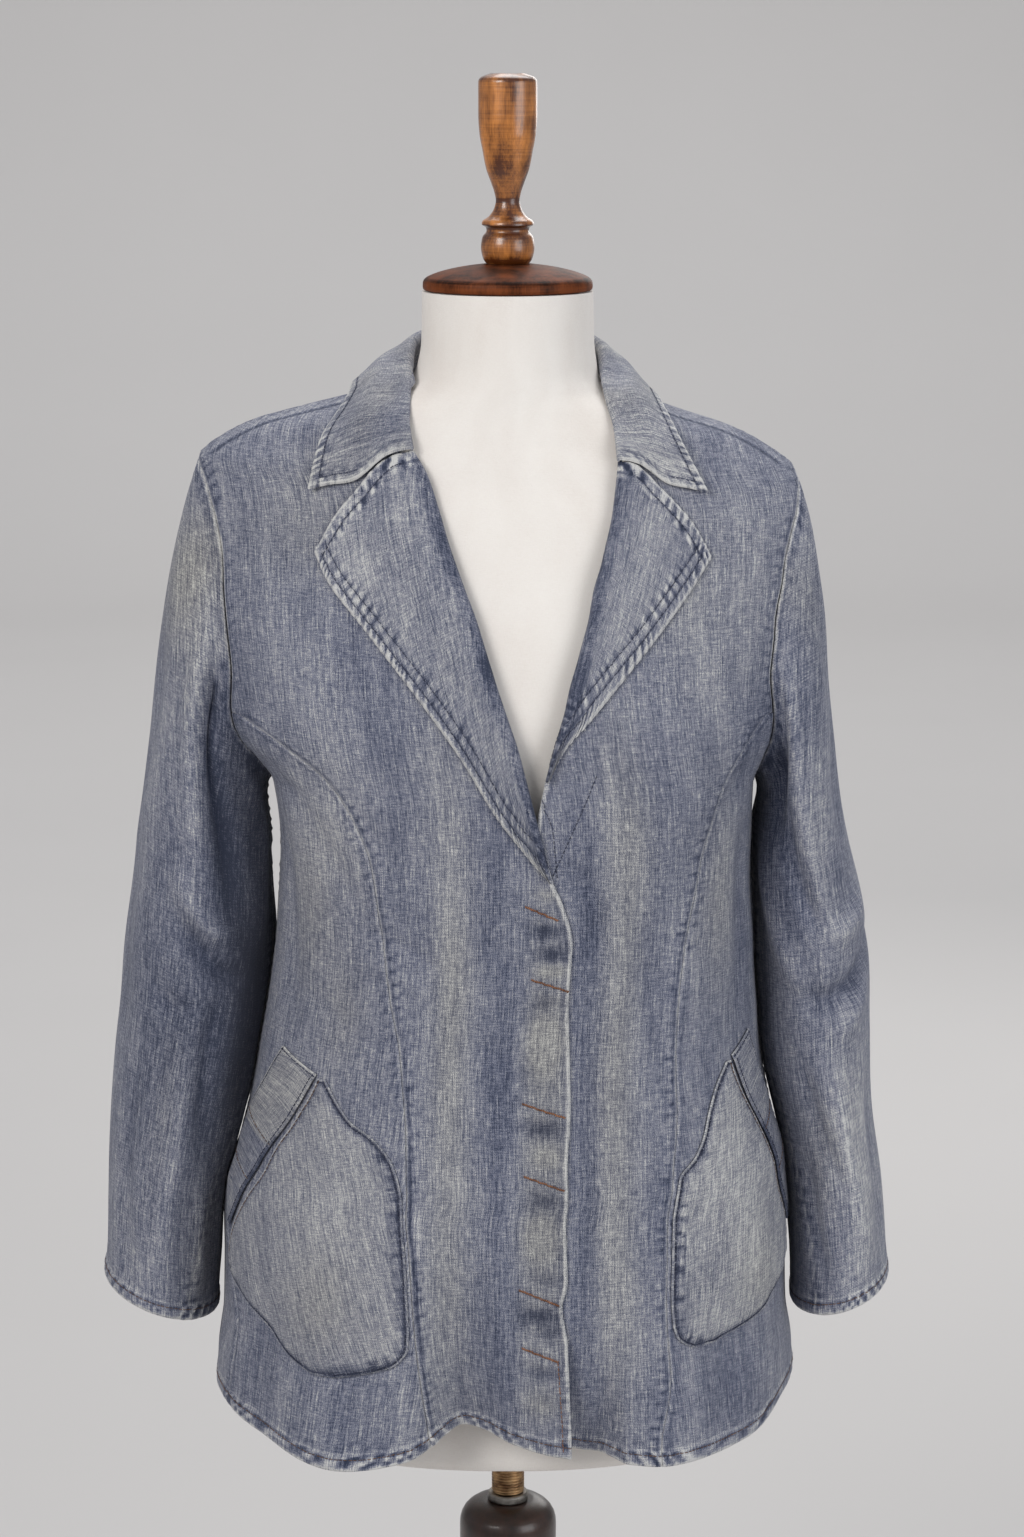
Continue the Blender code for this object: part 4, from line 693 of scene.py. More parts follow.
def mesh_piece(name, points, faces, finish, marks=None, sharp_degrees=62.0):
    """A mesh object of four-sided faces, with its point attributes."""
    mesh = bpy.data.meshes.new(name)
    mesh.vertices.add(len(points))
    mesh.vertices.foreach_set("co", np.ascontiguousarray(points, dtype=np.float32).ravel())
    mesh.loops.add(faces.size)
    mesh.loops.foreach_set("vertex_index", np.ascontiguousarray(faces, dtype=np.int32).ravel())
    mesh.polygons.add(len(faces))
    mesh.polygons.foreach_set("loop_start", np.arange(0, faces.size, 4, dtype=np.int32))
    mesh.update(calc_edges=True)
    mesh.shade_smooth()
    mesh.set_sharp_from_angle(angle=np.radians(sharp_degrees))
    for key, values in (marks or {}).items():
        kind = "FLOAT_VECTOR" if values.ndim == 2 else "FLOAT"
        layer = mesh.attributes.new(key, kind, "POINT")
        layer.data.foreach_set("vector" if values.ndim == 2 else "value",
                               np.ascontiguousarray(values, dtype=np.float32).ravel())
    mesh.materials.append(finish)
    thing = bpy.data.objects.new(name, mesh)
    bpy.context.scene.collection.objects.link(thing)
    return thing


def grid_faces(rows, columns, start=0, flip=False, wraps=False):
    i = np.arange(rows - 1)[:, None]
    j = np.arange(columns if wraps else columns - 1)[None, :]
    k = (j + 1) % columns
    faces = np.stack([i * columns + j, i * columns + k, (i + 1) * columns + k, (i + 1) * columns + j], -1)
    faces = faces.reshape(-1, 4) + start
    return faces[:, ::-1] if flip else faces


def loop_faces(first, second):
    """Faces between two closed loops of point numbers."""
    return np.stack([first, second, np.roll(second, -1), np.roll(first, -1)], axis=-1)


def shell(name, outer, inner, tone, warm, grain, wraps=False, swell=0.1):
    """Cloth between an outer and an inner grid, closed round its border by two strips
    whose shared line stands out by a share of the thickness, so the edge is round.
    Returns the object and its outer grid."""
    own = sides_of(outer, wraps)
    if np.sum(own["normal"] * (outer - inner)) < 0:
        outer, inner, tone, warm, grain = (a[:, ::-1] for a in (outer, inner, tone, warm, grain))
    rows, columns = outer.shape[:2]
    count = rows * columns
    points = [outer.reshape(-1, 3), inner.reshape(-1, 3)]
    tones, warms = [tone.ravel(), tone.ravel() * 0.3 + 0.3], [warm.ravel()] * 2
    grains = [grain.reshape(-1, 3)] * 2
    faces = [grid_faces(rows, columns, wraps=wraps), grid_faces(rows, columns, count, True, wraps)]
    start = 2 * count
    for loop, near in border(rows, columns, wraps):
        middle = (points[0][loop] + points[1][loop]) / 2
        thick = np.linalg.norm(points[0][loop] - points[1][loop], axis=1, keepdims=True)
        points.append(middle + unit(points[0][loop] - points[0][near]) * thick * swell)
        tones.append(tones[0][loop] + 0.1)
        warms.append(warms[0][loop])
        grains.append(grains[0][loop])
        rim = start + np.arange(len(loop))
        faces += [loop_faces(loop, rim), loop_faces(rim, loop + count)]
        start += len(loop)
    marks = {"tone": np.concatenate(tones), "warm": np.concatenate(warms), "grain": np.concatenate(grains)}
    return mesh_piece("denim_" + name, np.concatenate(points), np.concatenate(faces), DENIM, marks), own


def shell_on_body(name, turn, height, faces, tone, warm, grain, **kind):
    """Cloth whose inner and outer face are the body's, moved out this far."""
    inner, outer = (cloth(turn, height, out) for out in faces)
    return shell(name, outer, inner, tone, warm, grain, **kind)


def as_grain(across, along, seed):
    """The cloth's coordinate: across the warp, along it, and a number of its own for a piece."""
    across, along = np.broadcast_arrays(across, along)
    return np.stack([across, along, np.full(across.shape, seed * 0.37)], axis=-1)


OPPOSITE = {"low": "high", "high": "low", "foot": "top", "top": "foot"}


def sides_of(outer, wraps=False):
    """A finished grid with its normals and each point's distance from the four sides."""
    across, up = run(outer, 1), run(outer, 0)
    return {"outer": outer, "normal": grid_normal(outer, wraps), "low": across,
            "high": across[:, -1:] - across, "foot": up, "top": up[-1:] - up}


def line_in(piece, side, inset, ends=(None, 0.0, 0.0)):
    """The points that lie `inset` from one side of a piece, in order along it. `ends`
    names a cross side and how far from it and from its opposite the line keeps."""
    order = 1 if side in ("low", "foot") else -1

    def get(key):
        field = np.swapaxes(piece[key], 0, 1) if side in ("foot", "top") else piece[key]
        return field[:, ::order]

    field, points, normals = get(side), get("outer"), get("normal")
    row = np.arange(field.shape[0])
    i = np.clip((field < inset).sum(axis=1), 1, field.shape[1] - 1)
    t = np.clip((inset - field[row, i - 1]) / np.maximum(field[row, i] - field[row, i - 1], 1e-9), 0, 1)
    line, normal = (mix(a[row, i - 1], a[row, i], t[:, None]) for a in (points, normals))
    cross, near, far = ends
    keep = np.ones(len(line), dtype=bool)
    if cross:
        keep = (get(cross)[row, i] >= near) & (get(OPPOSITE[cross])[row, i] >= far)
    return line[keep], unit(normal)[keep]


def laid_on(piece, line):
    """A line moved along the normal of the nearest point of a piece, on to its face."""
    points, normals = piece["outer"].reshape(-1, 3), piece["normal"].reshape(-1, 3)
    nearest = np.linalg.norm(line[:, None] - points[None], axis=-1).argmin(axis=1)
    normal = normals[nearest]
    lift = np.sum((points[nearest] - line) * normal, axis=1, keepdims=True)
    return line + normal * lift, normal


# ------------------------------------------------------------------ threads

# Of a stitch: place along it, thickness and height, as shares of its length and radius.
STITCH_PROFILE = np.array([(-1.0, -0.72, 0.72, 1.0), (0.45, 1.0, 1.0, 0.45), (-0.9, 0.45, 0.45, -0.9)])


def thread(line, normals, pitch=0.0034, length=0.0029, radius=0.00034, sway=0.0, lift=0.0, seed=1):
    """Stitches along a line: short four-sided rods, thinner and lower at both ends.
    Returns their points and faces."""
    if len(line) < 2:
        return np.zeros((0, 3)), np.zeros((0, 4), dtype=int)
    far = line_run(line)
    count = max(1, int(far[-1] / pitch))
    uneven = 0.12 * pitch * np.random.default_rng(seed).uniform(-1, 1, count)
    centre_at = (np.arange(count) + 0.5) * far[-1] / count + uneven

    def at(where, values):
        return np.stack([np.interp(where, far, column) for column in values.T], axis=-1)

    along = unit(at(centre_at + length / 2, line) - at(centre_at - length / 2, line))
    up = unit(at(centre_at, normals))
    if sway:
        swing = sway * np.where(np.arange(count) % 2, 1.0, -1.0)[:, None]
        along = unit(along + unit(np.cross(up, along)) * swing)
    share, thick, raised = STITCH_PROFILE[:, :, None]
    corner = np.radians([45, 135, 225, 315])
    thick = thick * radius
    axes = np.stack([along, unit(np.cross(up, along)), up], axis=1)
    offsets = np.stack(np.broadcast_arrays(share * length / 2, thick * np.cos(corner),
                                           thick * np.sin(corner) + raised * radius + lift), axis=-1)
    points = at(centre_at, line)[:, None] + offsets.reshape(-1, 3) @ axes
    faces = np.concatenate([grid_faces(4, 4, wraps=True), [[3, 2, 1, 0], [12, 13, 14, 15]]])
    shift = (np.arange(count) * 16)[:, None, None]
    return points.reshape(-1, 3), (faces[None] + shift).reshape(-1, 4)


def in_place(piece):
    """The piece belongs to the one body."""
    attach(piece, "root")
    return piece


def sewn(name, threads, finish):
    """Many rows of stitches joined into one piece."""
    starts = np.cumsum([0] + [len(points) for points, _ in threads])
    faces = np.concatenate([own + start for (_, own), start in zip(threads, starts)])
    points = np.concatenate([own for own, _ in threads])
    return in_place(mesh_piece(name, points, faces, finish, sharp_degrees=80.0))


# ------------------------------------------------------------- body panels

LOW_ROWS = ((HEM_ROW, 0.711, 0.0011), (0.711, 1.146, 0.0023), (1.146, 1.16, 0.0008))
SIDE_ROWS = rising(*LOW_ROWS, (1.16, PRINCESS_TOP, 0.0023))
BODY_ROWS = rising(*LOW_ROWS, (1.16, 1.362, 0.0023), (1.362, 1.376, 0.001), (1.376, NECK_POINT, 0.0016))
DEEPEST = 0.001           # no dent goes further into the wall than this
ROLL_TRIM = 0.0046         # the panels stop this far short of the lapels' roll

# Rows of bar stitching down the closed front, and the worn places and dents there; the
# dents' dark tone is painted shade.
BARS = table("ax ay bx by", [
    (2.6, 1.0821, 11.7, 1.0719), (4.4, 1.0301, 15.2, 1.0212), (3.6, 0.9433, 15.1, 0.9331),
    (3.9, 0.8928, 14.3, 0.8827), (3.7, 0.8151, 13.4, 0.8035), (4.5, 0.7739, 12.9, 0.7642),
])
FRONT_DENTS = table("x y size_x size_y tone warm", [
    (8.5, 1.064, 3.8, 0.005, -0.5, 0.0), (10.5, 1.0475, 3.8, 0.0055, -0.5, 0.0),
    (9.0, 1.0905, 3.4, 0.005, 0.14, 0.5), (10.0, 1.036, 4.4, 0.0045, 0.22, 0.8),
    (9.0, 1.013, 4.4, 0.0045, -0.22, 0.2), (9.0, 0.985, 5.0, 0.02, 0.2, 0.9),
    (9.0, 0.925, 4.6, 0.006, -0.46, 0.0), (10.0, 0.906, 4.2, 0.008, 0.12, 0.5),
    (9.0, 0.875, 4.4, 0.0055, -0.26, 0.0), (9.0, 0.85, 4.4, 0.015, 0.12, 0.8),
    (10.5, 0.821, 3.0, 0.004, -0.26, 0.0), (8.5, 0.796, 4.4, 0.0065, -0.52, 0.0),
    (11.0, 0.785, 3.0, 0.004, -0.34, 0.0), (9.0, 0.756, 4.4, 0.005, -0.3, 0.0),
    (9.0, 0.734, 4.4, 0.01, 0.06, 0.6),
])
FLY_LINES = table("ax ay bx by bow width depth", [
    (2.6, 1.028, 4.0, 0.94, 0.0006, 0.001, -0.0005), (4.0, 0.9, 4.4, 0.812, -0.0006, 0.001, -0.0004),
    (4.4, 0.812, 4.6, 0.772, 0.0004, 0.001, -0.0005),
])
HEM_STITCHES = (0.7642, 13.4)     # top of the last row of stitches, and its turn


def closed_front(turn, height, gauge):
    """Relief, tone and warmth of the closed front: a groove under each bar with a lip on
    both sides, dents between the bars, the fly's line, and a roped edge at the hem. The
    grooves, dents and fly's line are darkened as painted shade, the lips lightened as
    painted highlight."""
    x = turn * DEGREE
    none = 0 * BARS["ax"]
    bars = {**in_metres(BARS, DEGREE), "bow": none, "width": none + 0.0013, "depth": none - 0.0008}
    groove = folds(bars, x, height)
    lips = sum(folds({**bars, "ay": bars["ay"] + d, "by": bars["by"] + d, "width": bars["width"] * 2.4,
                      "depth": -bars["depth"]}, x, height) for d in (-0.0048, 0.0048))
    worn, warm = patches(FRONT_DENTS, turn, height)
    fly = folds(in_metres(FLY_LINES, DEGREE), x, height)
    top, stitch_turn = HEM_STITCHES
    beyond = ease(stitch_turn - 0.4, stitch_turn + 0.2, turn) * fade(top - 0.002, top + 0.001, height)
    rope = ropes(height, 41, 0.0068) * beyond
    relief = groove + lips + 0.0042 * np.clip(worn, -1, 1) + fly + 0.0006 * rope
    # The dents' dark tone, the darkened grooves and the fly's line are painted shade; the paler lips are
    # painted highlight.
    tone = 1.9 * worn + by_the_pocket(gauge["low"], height)
    tone = tone + 260 * groove + 70 * lips + 420 * fly + 0.36 * rope
    return relief, tone, warm + 0.8 * between(turn, 4, 16) * between(height, 0.74, 1.08)


def shoulder_crease(away, height):
    """Relief and tone of the pressed line in front of a shoulder seam. The groove is darkened as
    painted shade, and its edge lightened as painted highlight.
    """
    here = ease(SHOULDER_TIP, SHOULDER_TIP + 0.004, height)
    relief = -0.0009 * hump(away, 0.023, 0.002)
    return here * relief, here * (0.24 * hump(away, 0.018, 0.0026) - 1.0 * hump(away, 0.023, 0.0024))


def by_the_pocket(away, height):
    """Tone of a darker line along a princess seam beside its pocket."""
    return -0.6 * hump(away, 0.003, 0.0017) * between(height, 0.75, 0.9)


def across_the_edge(outer, side):
    """Share of a length along each row that leads straight away from the piece's edge."""
    edge, next_to = (0, 1) if side == "low" else (-1, -2)
    along_row = unit(outer[:, next_to] - outer[:, edge])
    along_edge = unit(np.gradient(outer[:, edge], axis=0))
    return np.linalg.norm(np.cross(along_row, along_edge), axis=-1)[:, None]


def panel(name, rows, low_turn, high_turn, columns, low_seam, high_seam, seed, lie=None, extra=None,
          middle=8.0, shoulder=None):
    """A patch of the body between two edges. Its relief is the sum of its sides'
    finishes and its own extra, laid on the folded body surface."""
    low = low_turn + arc_turn(GAP / 2, low_turn, rows)
    high = high_turn - arc_turn(GAP / 2, high_turn, rows)
    turn = spread(low, high, rows, dense_ends(columns))
    rise = np.clip((FLAT_ABOVE - rows) / (FLAT_ABOVE - rows[0]), 0, 1)[:, None]
    height = rows[:, None] + (hem_height(turn) - rows[0]) * rise
    base = lie(turn, height) if lie else np.zeros_like(turn)
    gauge = sides_of(cloth(turn, height, base))
    # Fades, and painted shade under the armholes, below the lapels and beside the front edge.
    tone, warm = sum(patches(BODY_FADES_AND_SHADE, turn + whole, height) for whole in CIRCLES)
    relief = np.zeros_like(turn)
    seams = {"low": low_seam, "high": high_seam, "foot": (hem_finish, {})}
    for number, (side, (maker, options)) in enumerate(seams.items()):
        away, along = gauge[side], gauge["foot"]
        if side == "foot":
            along = gauge["low"][:1] + 0 * away
        else:
            away = away * across_the_edge(gauge["outer"], side)
        own_relief, own_tone = maker(away, along, seed * 40 + number * 7 + 3, **options)
        relief, tone = relief + own_relief, tone + own_tone
    if extra:
        more_relief, more_tone, more_warm = extra(turn, height, gauge)
        relief, tone, warm = relief + more_relief, tone + more_tone, warm + more_warm
    if shoulder:
        pressed = shoulder_crease(gauge[shoulder] * across_the_edge(gauge["outer"], shoulder), height)
        relief, tone = relief + pressed[0], tone + pressed[1]
    relief = np.where(relief < 0, DEEPEST * np.tanh(relief / DEEPEST), relief)
    # Painted shade in the folds' hollows and painted highlight on their crests.
    tone = tone + FOLD_SHADING_TONE * creases(BODY_FOLDS, turn, height, DEGREE)
    grain = as_grain(girth(turn, rows, middle), height, seed)
    return shell_on_body(name, turn, height, (base - WALL, base + relief), tone, warm, grain)


def edge_turn(seam, top, armhole, height, side):
    """Turn of a body piece's edge on one side: its seam up to the height where it meets
    the armhole, then the armhole's front or back edge and the shoulder seam."""
    name = "right" if side < 0 else "left"
    return np.where(height > top, outer_limit(height, side, armhole), smooth(seam, name, height))


def body_panels():
    """The back, two centre fronts and two side fronts, with their finished grids."""
    rows, low_rows = BODY_ROWS, SIDE_ROWS
    over_arm = ease(PRINCESS_TOP - 0.01, PRINCESS_TOP + 0.01, rows)[:, None]
    princess = (seam_finish, {"white": 0.6 + 0.4 * over_arm, "turnings": 1.0 - 0.3 * over_arm})
    under_princess = (seam_finish, {"white": 0.4, "turnings": 0.2, "dark": 0.7})
    side_seam = (seam_finish, {"white": 0.55, "turnings": 0.7})
    folded = (folded_finish, {})
    back = [edge_turn(SIDE_SEAM, UNDERARM, "back_y", rows, side) for side in (1, -1)]
    outside = [edge_turn(PRINCESS_SEAM, PRINCESS_TOP, "front_y", rows, side) for side in (1, -1)]
    under_arm = [edge_turn(SIDE_SEAM, UNDERARM, "front_y", low_rows, side) for side in (1, -1)]
    inside = read(PRINCESS_SEAM, "left right", low_rows)
    left, right = smooth(LEFT_FRONT_EDGE, "turn", rows), smooth(RIGHT_FRONT_EDGE, "turn", rows)
    right = right - arc_turn(ROLL_TRIM * ease(1.1, 1.13, rows), right, rows)
    left = left + arc_turn(ROLL_TRIM * ease(1.168, 1.2, rows), left, rows)
    return {
        "back": panel("back", rows, back[0], 360 + back[1], 92, side_seam, side_seam, 1, middle=180.0),
        "front_right": panel("front_right", rows, outside[1], right, 56, princess, folded, 2,
                             extra=closed_front, shoulder="low"),
        "front_left": panel("front_left", rows, left, outside[0], 56, folded, princess, 3,
                            lie=under_lap, shoulder="high"),
        "side_front_right": panel("side_front_right", low_rows, under_arm[1], inside[1], 44,
                                  side_seam, under_princess, 4, middle=-45.0),
        "side_front_left": panel("side_front_left", low_rows, inside[0], under_arm[0], 44,
                                 under_princess, side_seam, 5, middle=45.0),
    }


# ----------------------------------------------------------------- sleeves

ARM_DEGREE = 0.00105       # metres of sleeve to one degree of turn

RIGHT_SLEEVE_FOLDS = table("ax ay bx by bow width depth", [
    (-4, 1.04, 6, 0.79, 0.002, 0.026, 0.0036), (68, 1.29, 56, 1.06, 0.008, 0.013, -0.006),
    (96, 1.27, 86, 1.08, 0.006, 0.012, 0.0022), (30, 1.18, 34, 1.02, -0.006, 0.011, 0.0026),
    (104, 1.09, 58, 1.036, 0.008, 0.009, 0.0034), (96, 1.052, 50, 1.004, 0.006, 0.008, -0.004),
    (66, 1.0, 54, 0.88, 0.006, 0.011, -0.0036), (120, 1.01, 84, 0.985, 0.005, 0.008, -0.0014),
    (92, 0.96, 84, 0.8, -0.006, 0.012, 0.0022), (128, 0.93, 118, 0.79, 0.006, 0.011, -0.002),
    (156, 1.11, 150, 0.96, 0.008, 0.013, -0.002), (150, 1.25, 168, 1.12, -0.006, 0.012, -0.0016),
    (46, 0.86, 40, 0.78, 0.003, 0.009, 0.0018), (206, 1.3, 214, 1.12, 0.01, 0.014, -0.004),
    (250, 1.2, 238, 1.06, -0.01, 0.013, -0.0046), (214, 1.07, 262, 1.03, 0.008, 0.01, -0.0036),
    (208, 1.03, 250, 1.006, 0.006, 0.008, 0.003), (236, 0.99, 228, 0.84, 0.008, 0.013, -0.0034),
    (290, 1.1, 300, 0.9, 0.01, 0.013, -0.003), (300, 1.06, 330, 1.02, 0.006, 0.008, -0.0022),
])
LEFT_SLEEVE_FOLDS = table("ax ay bx by bow width depth", [
    (0, 1.06, 2, 0.85, 0.002, 0.022, 0.0022), (40, 1.28, 52, 1.11, -0.01, 0.012, -0.0044),
    (78, 1.26, 98, 1.08, -0.012, 0.012, 0.0026), (66, 1.13, 98, 1.04, -0.008, 0.01, -0.003),
    (30, 1.1, 66, 1.0, -0.006, 0.011, 0.0026), (158, 1.066, 96, 1.04, 0.008, 0.01, 0.003),
    (176, 1.03, 70, 0.992, 0.01, 0.01, -0.0042), (150, 1.006, 104, 0.968, 0.006, 0.01, 0.0022),
    (64, 0.95, 98, 0.85, -0.006, 0.012, -0.0026), (104, 0.93, 122, 0.8, -0.008, 0.013, 0.002),
    (150, 0.95, 140, 0.81, 0.006, 0.012, -0.002), (50, 0.87, 64, 0.79, -0.003, 0.01, -0.0022),
    (148, 1.26, 140, 1.12, 0.008, 0.014, -0.0018), (206, 1.28, 214, 1.11, 0.01, 0.013, -0.0036),
    (246, 1.19, 236, 1.05, -0.01, 0.013, -0.0042), (210, 1.05, 258, 1.02, 0.008, 0.01, -0.0034),
    (212, 1.018, 250, 0.996, 0.006, 0.008, 0.0028), (232, 0.98, 226, 0.83, 0.008, 0.013, -0.003),
    (292, 1.09, 300, 0.9, 0.01, 0.013, -0.0028),
])
# Fades of the sleeves: turn round the sleeve, height, their reach in each, tone and warmth. The dark ones
# toward the body, turn 30 to 66, are painted shade where the sleeve faces the body, and partly unfaded cloth.
RIGHT_SLEEVE_FADES_AND_SHADE = table("x y size_x size_y tone warm", [
    (140, 1.3, 34, 0.05, 0.14, 1.2), (104, 0.99, 60, 0.09, -0.38, 0.1), (110, 0.85, 60, 0.08, -0.06, 0.1),
    (30, 1.0, 22, 0.15, -0.36, 0.0), (100, 1.24, 26, 0.05, 0.1, 0.3), (36, 1.18, 24, 0.07, -0.52, 0.3),
    (30, 1.06, 26, 0.08, -0.5, 0.5), (46, 1.02, 14, 0.03, -0.24, 0.2), (28, 0.99, 20, 0.14, -0.3, 0.5),
    (32, 0.92, 26, 0.09, -0.44, 0.7), (34, 0.8, 26, 0.06, -0.3, 0.9), (66, 1.215, 11, 0.055, -0.4, 0.1),
    (60, 1.1, 12, 0.065, -0.46, 0.2), (52, 0.975, 13, 0.065, -0.34, 0.2), (150, 1.06, 18, 0.11, 0.12, 0.0),
    (146, 0.88, 20, 0.09, 0.1, 0.0), (96, 0.93, 14, 0.08, -0.06, 0.4), (112, 0.81, 20, 0.04, 0.06, 0.0),
])
LEFT_SLEEVE_FADES_AND_SHADE = table("x y size_x size_y tone warm", [
    (36, 1.24, 22, 0.05, -0.3, 0.0), (116, 1.22, 34, 0.055, -0.2, 0.0), (120, 0.86, 44, 0.09, 0.42, 0.1),
    (34, 1.13, 26, 0.07, -0.46, 0.1), (56, 1.06, 18, 0.05, -0.26, 0.0), (30, 0.99, 22, 0.05, -0.26, 0.2),
    (84, 1.0, 20, 0.02, -0.2, 0.2), (104, 1.12, 18, 0.07, 0.12, 0.1), (120, 1.29, 26, 0.04, 0.14, 0.5),
    (80, 1.29, 16, 0.03, -0.16, 0.0), (118, 0.93, 18, 0.05, 0.1, 0.1), (70, 0.88, 18, 0.04, -0.1, 0.6),
    (130, 0.83, 20, 0.04, 0.08, 0.1),
])
SLEEVE_SEAM_LINE = table("height turn", [
    (0.75, 56.0), (0.79, 50.0), (0.86, 33.0), (0.95, 16.0), (1.15, 4.0), (1.3, 2.0),
])


def armhole_curve(side, count):
    """Points of the armhole seam, the way into the wall at each, and the turn round the
    sleeve: 0 at the underarm, up the front to 180 at the shoulder, down the back to 360.
    Heights are first closely spaced, then read again at even lengths."""
    fine = rising((UNDERARM, 1.16, 0.0002), (1.16, 1.36, 0.001), (1.36, SHOULDER_TIP, 0.0002))
    share = np.linspace(0, 1, count // 2 + 1)
    found = []
    for edge in ("front_y", "back_y"):
        far = line_run(cloth(outer_limit(fine, side, edge), fine))
        found.append(np.interp(share * far[-1], far, fine))
    heights = np.concatenate([found[0], found[1][::-1][1:-1]])
    front = np.arange(len(heights)) <= count // 2
    turns = np.where(front, *(outer_limit(heights, side, edge) for edge in ("front_y", "back_y")))
    points = cloth(turns, heights)
    angle = np.concatenate([share * 180.0, 180.0 + share[1:-1] * 180.0])
    return points, unit(cloth(turns, heights, -WALL) - points), angle


LOW_BULGE = 0.003          # how far both sleeves bulge toward the body between elbow and cuff
ARMPIT_BULGE = 0.0036      # and the left one under the armpit
ARM_FOLDS = 1.8            # what the sleeves' folds are multiplied by
# The sleeves' folds darken the tone in their hollows and lighten it on their crests: painted shade and
# painted highlight.
ARM_FOLD_SHADING_TONE = 48         # tone to one metre of their height
ARM_RADIUS = 0.056         # metres of sleeve to one radian, for the cloth's coordinate
SLEEVE_STEP = 0.0024       # between two level rows of a sleeve
BODY_GAP = 0.0016          # least room between a sleeve and the body
REST_SOFT = 0.0008         # how softly a sleeve comes to rest on it


def sleeve_ring(sections, turn, height, side):
    """Oval section: turn 0 faces the body, 90 the front, 180 away from the body. Its inner
    side bulges toward the body, most a little behind the turn that faces it."""
    centre_x, centre_y = read(sections, "centre_x centre_y", height)
    half_width, half_depth = read(sections, "half_width half_depth", height)
    toward = LOW_BULGE * between(height, 0.8, 0.92) + max(side, 0) * ARMPIT_BULGE * between(height, 1.0, 1.11)
    reach = half_width * np.cos(np.radians(turn)) + toward * hump(wrap(turn + 20.0), 0.0, 38.0)
    y = centre_y - half_depth * np.sin(np.radians(turn))
    return np.stack(np.broadcast_arrays(centre_x - side * reach, y, height), axis=-1)


def held_off(points):
    """How far points must move, level and away from the body's middle, to clear its cloth:
    s * log(1 + e to the power of (surface + gap - radius) / s)."""
    x, y, z = np.moveaxis(points, -1, 0)
    across = x - smooth(BODY, "centre_x", z)
    radius = np.hypot(across, y)
    surface = cloth(np.degrees(np.arctan2(across, -y)), z)
    wanted = np.hypot(surface[..., 0] - x + across, surface[..., 1]) + BODY_GAP
    share = REST_SOFT * np.logaddexp(0.0, (wanted - radius) / REST_SOFT) / radius
    return np.stack([across * share, y * share, 0 * z], axis=-1)


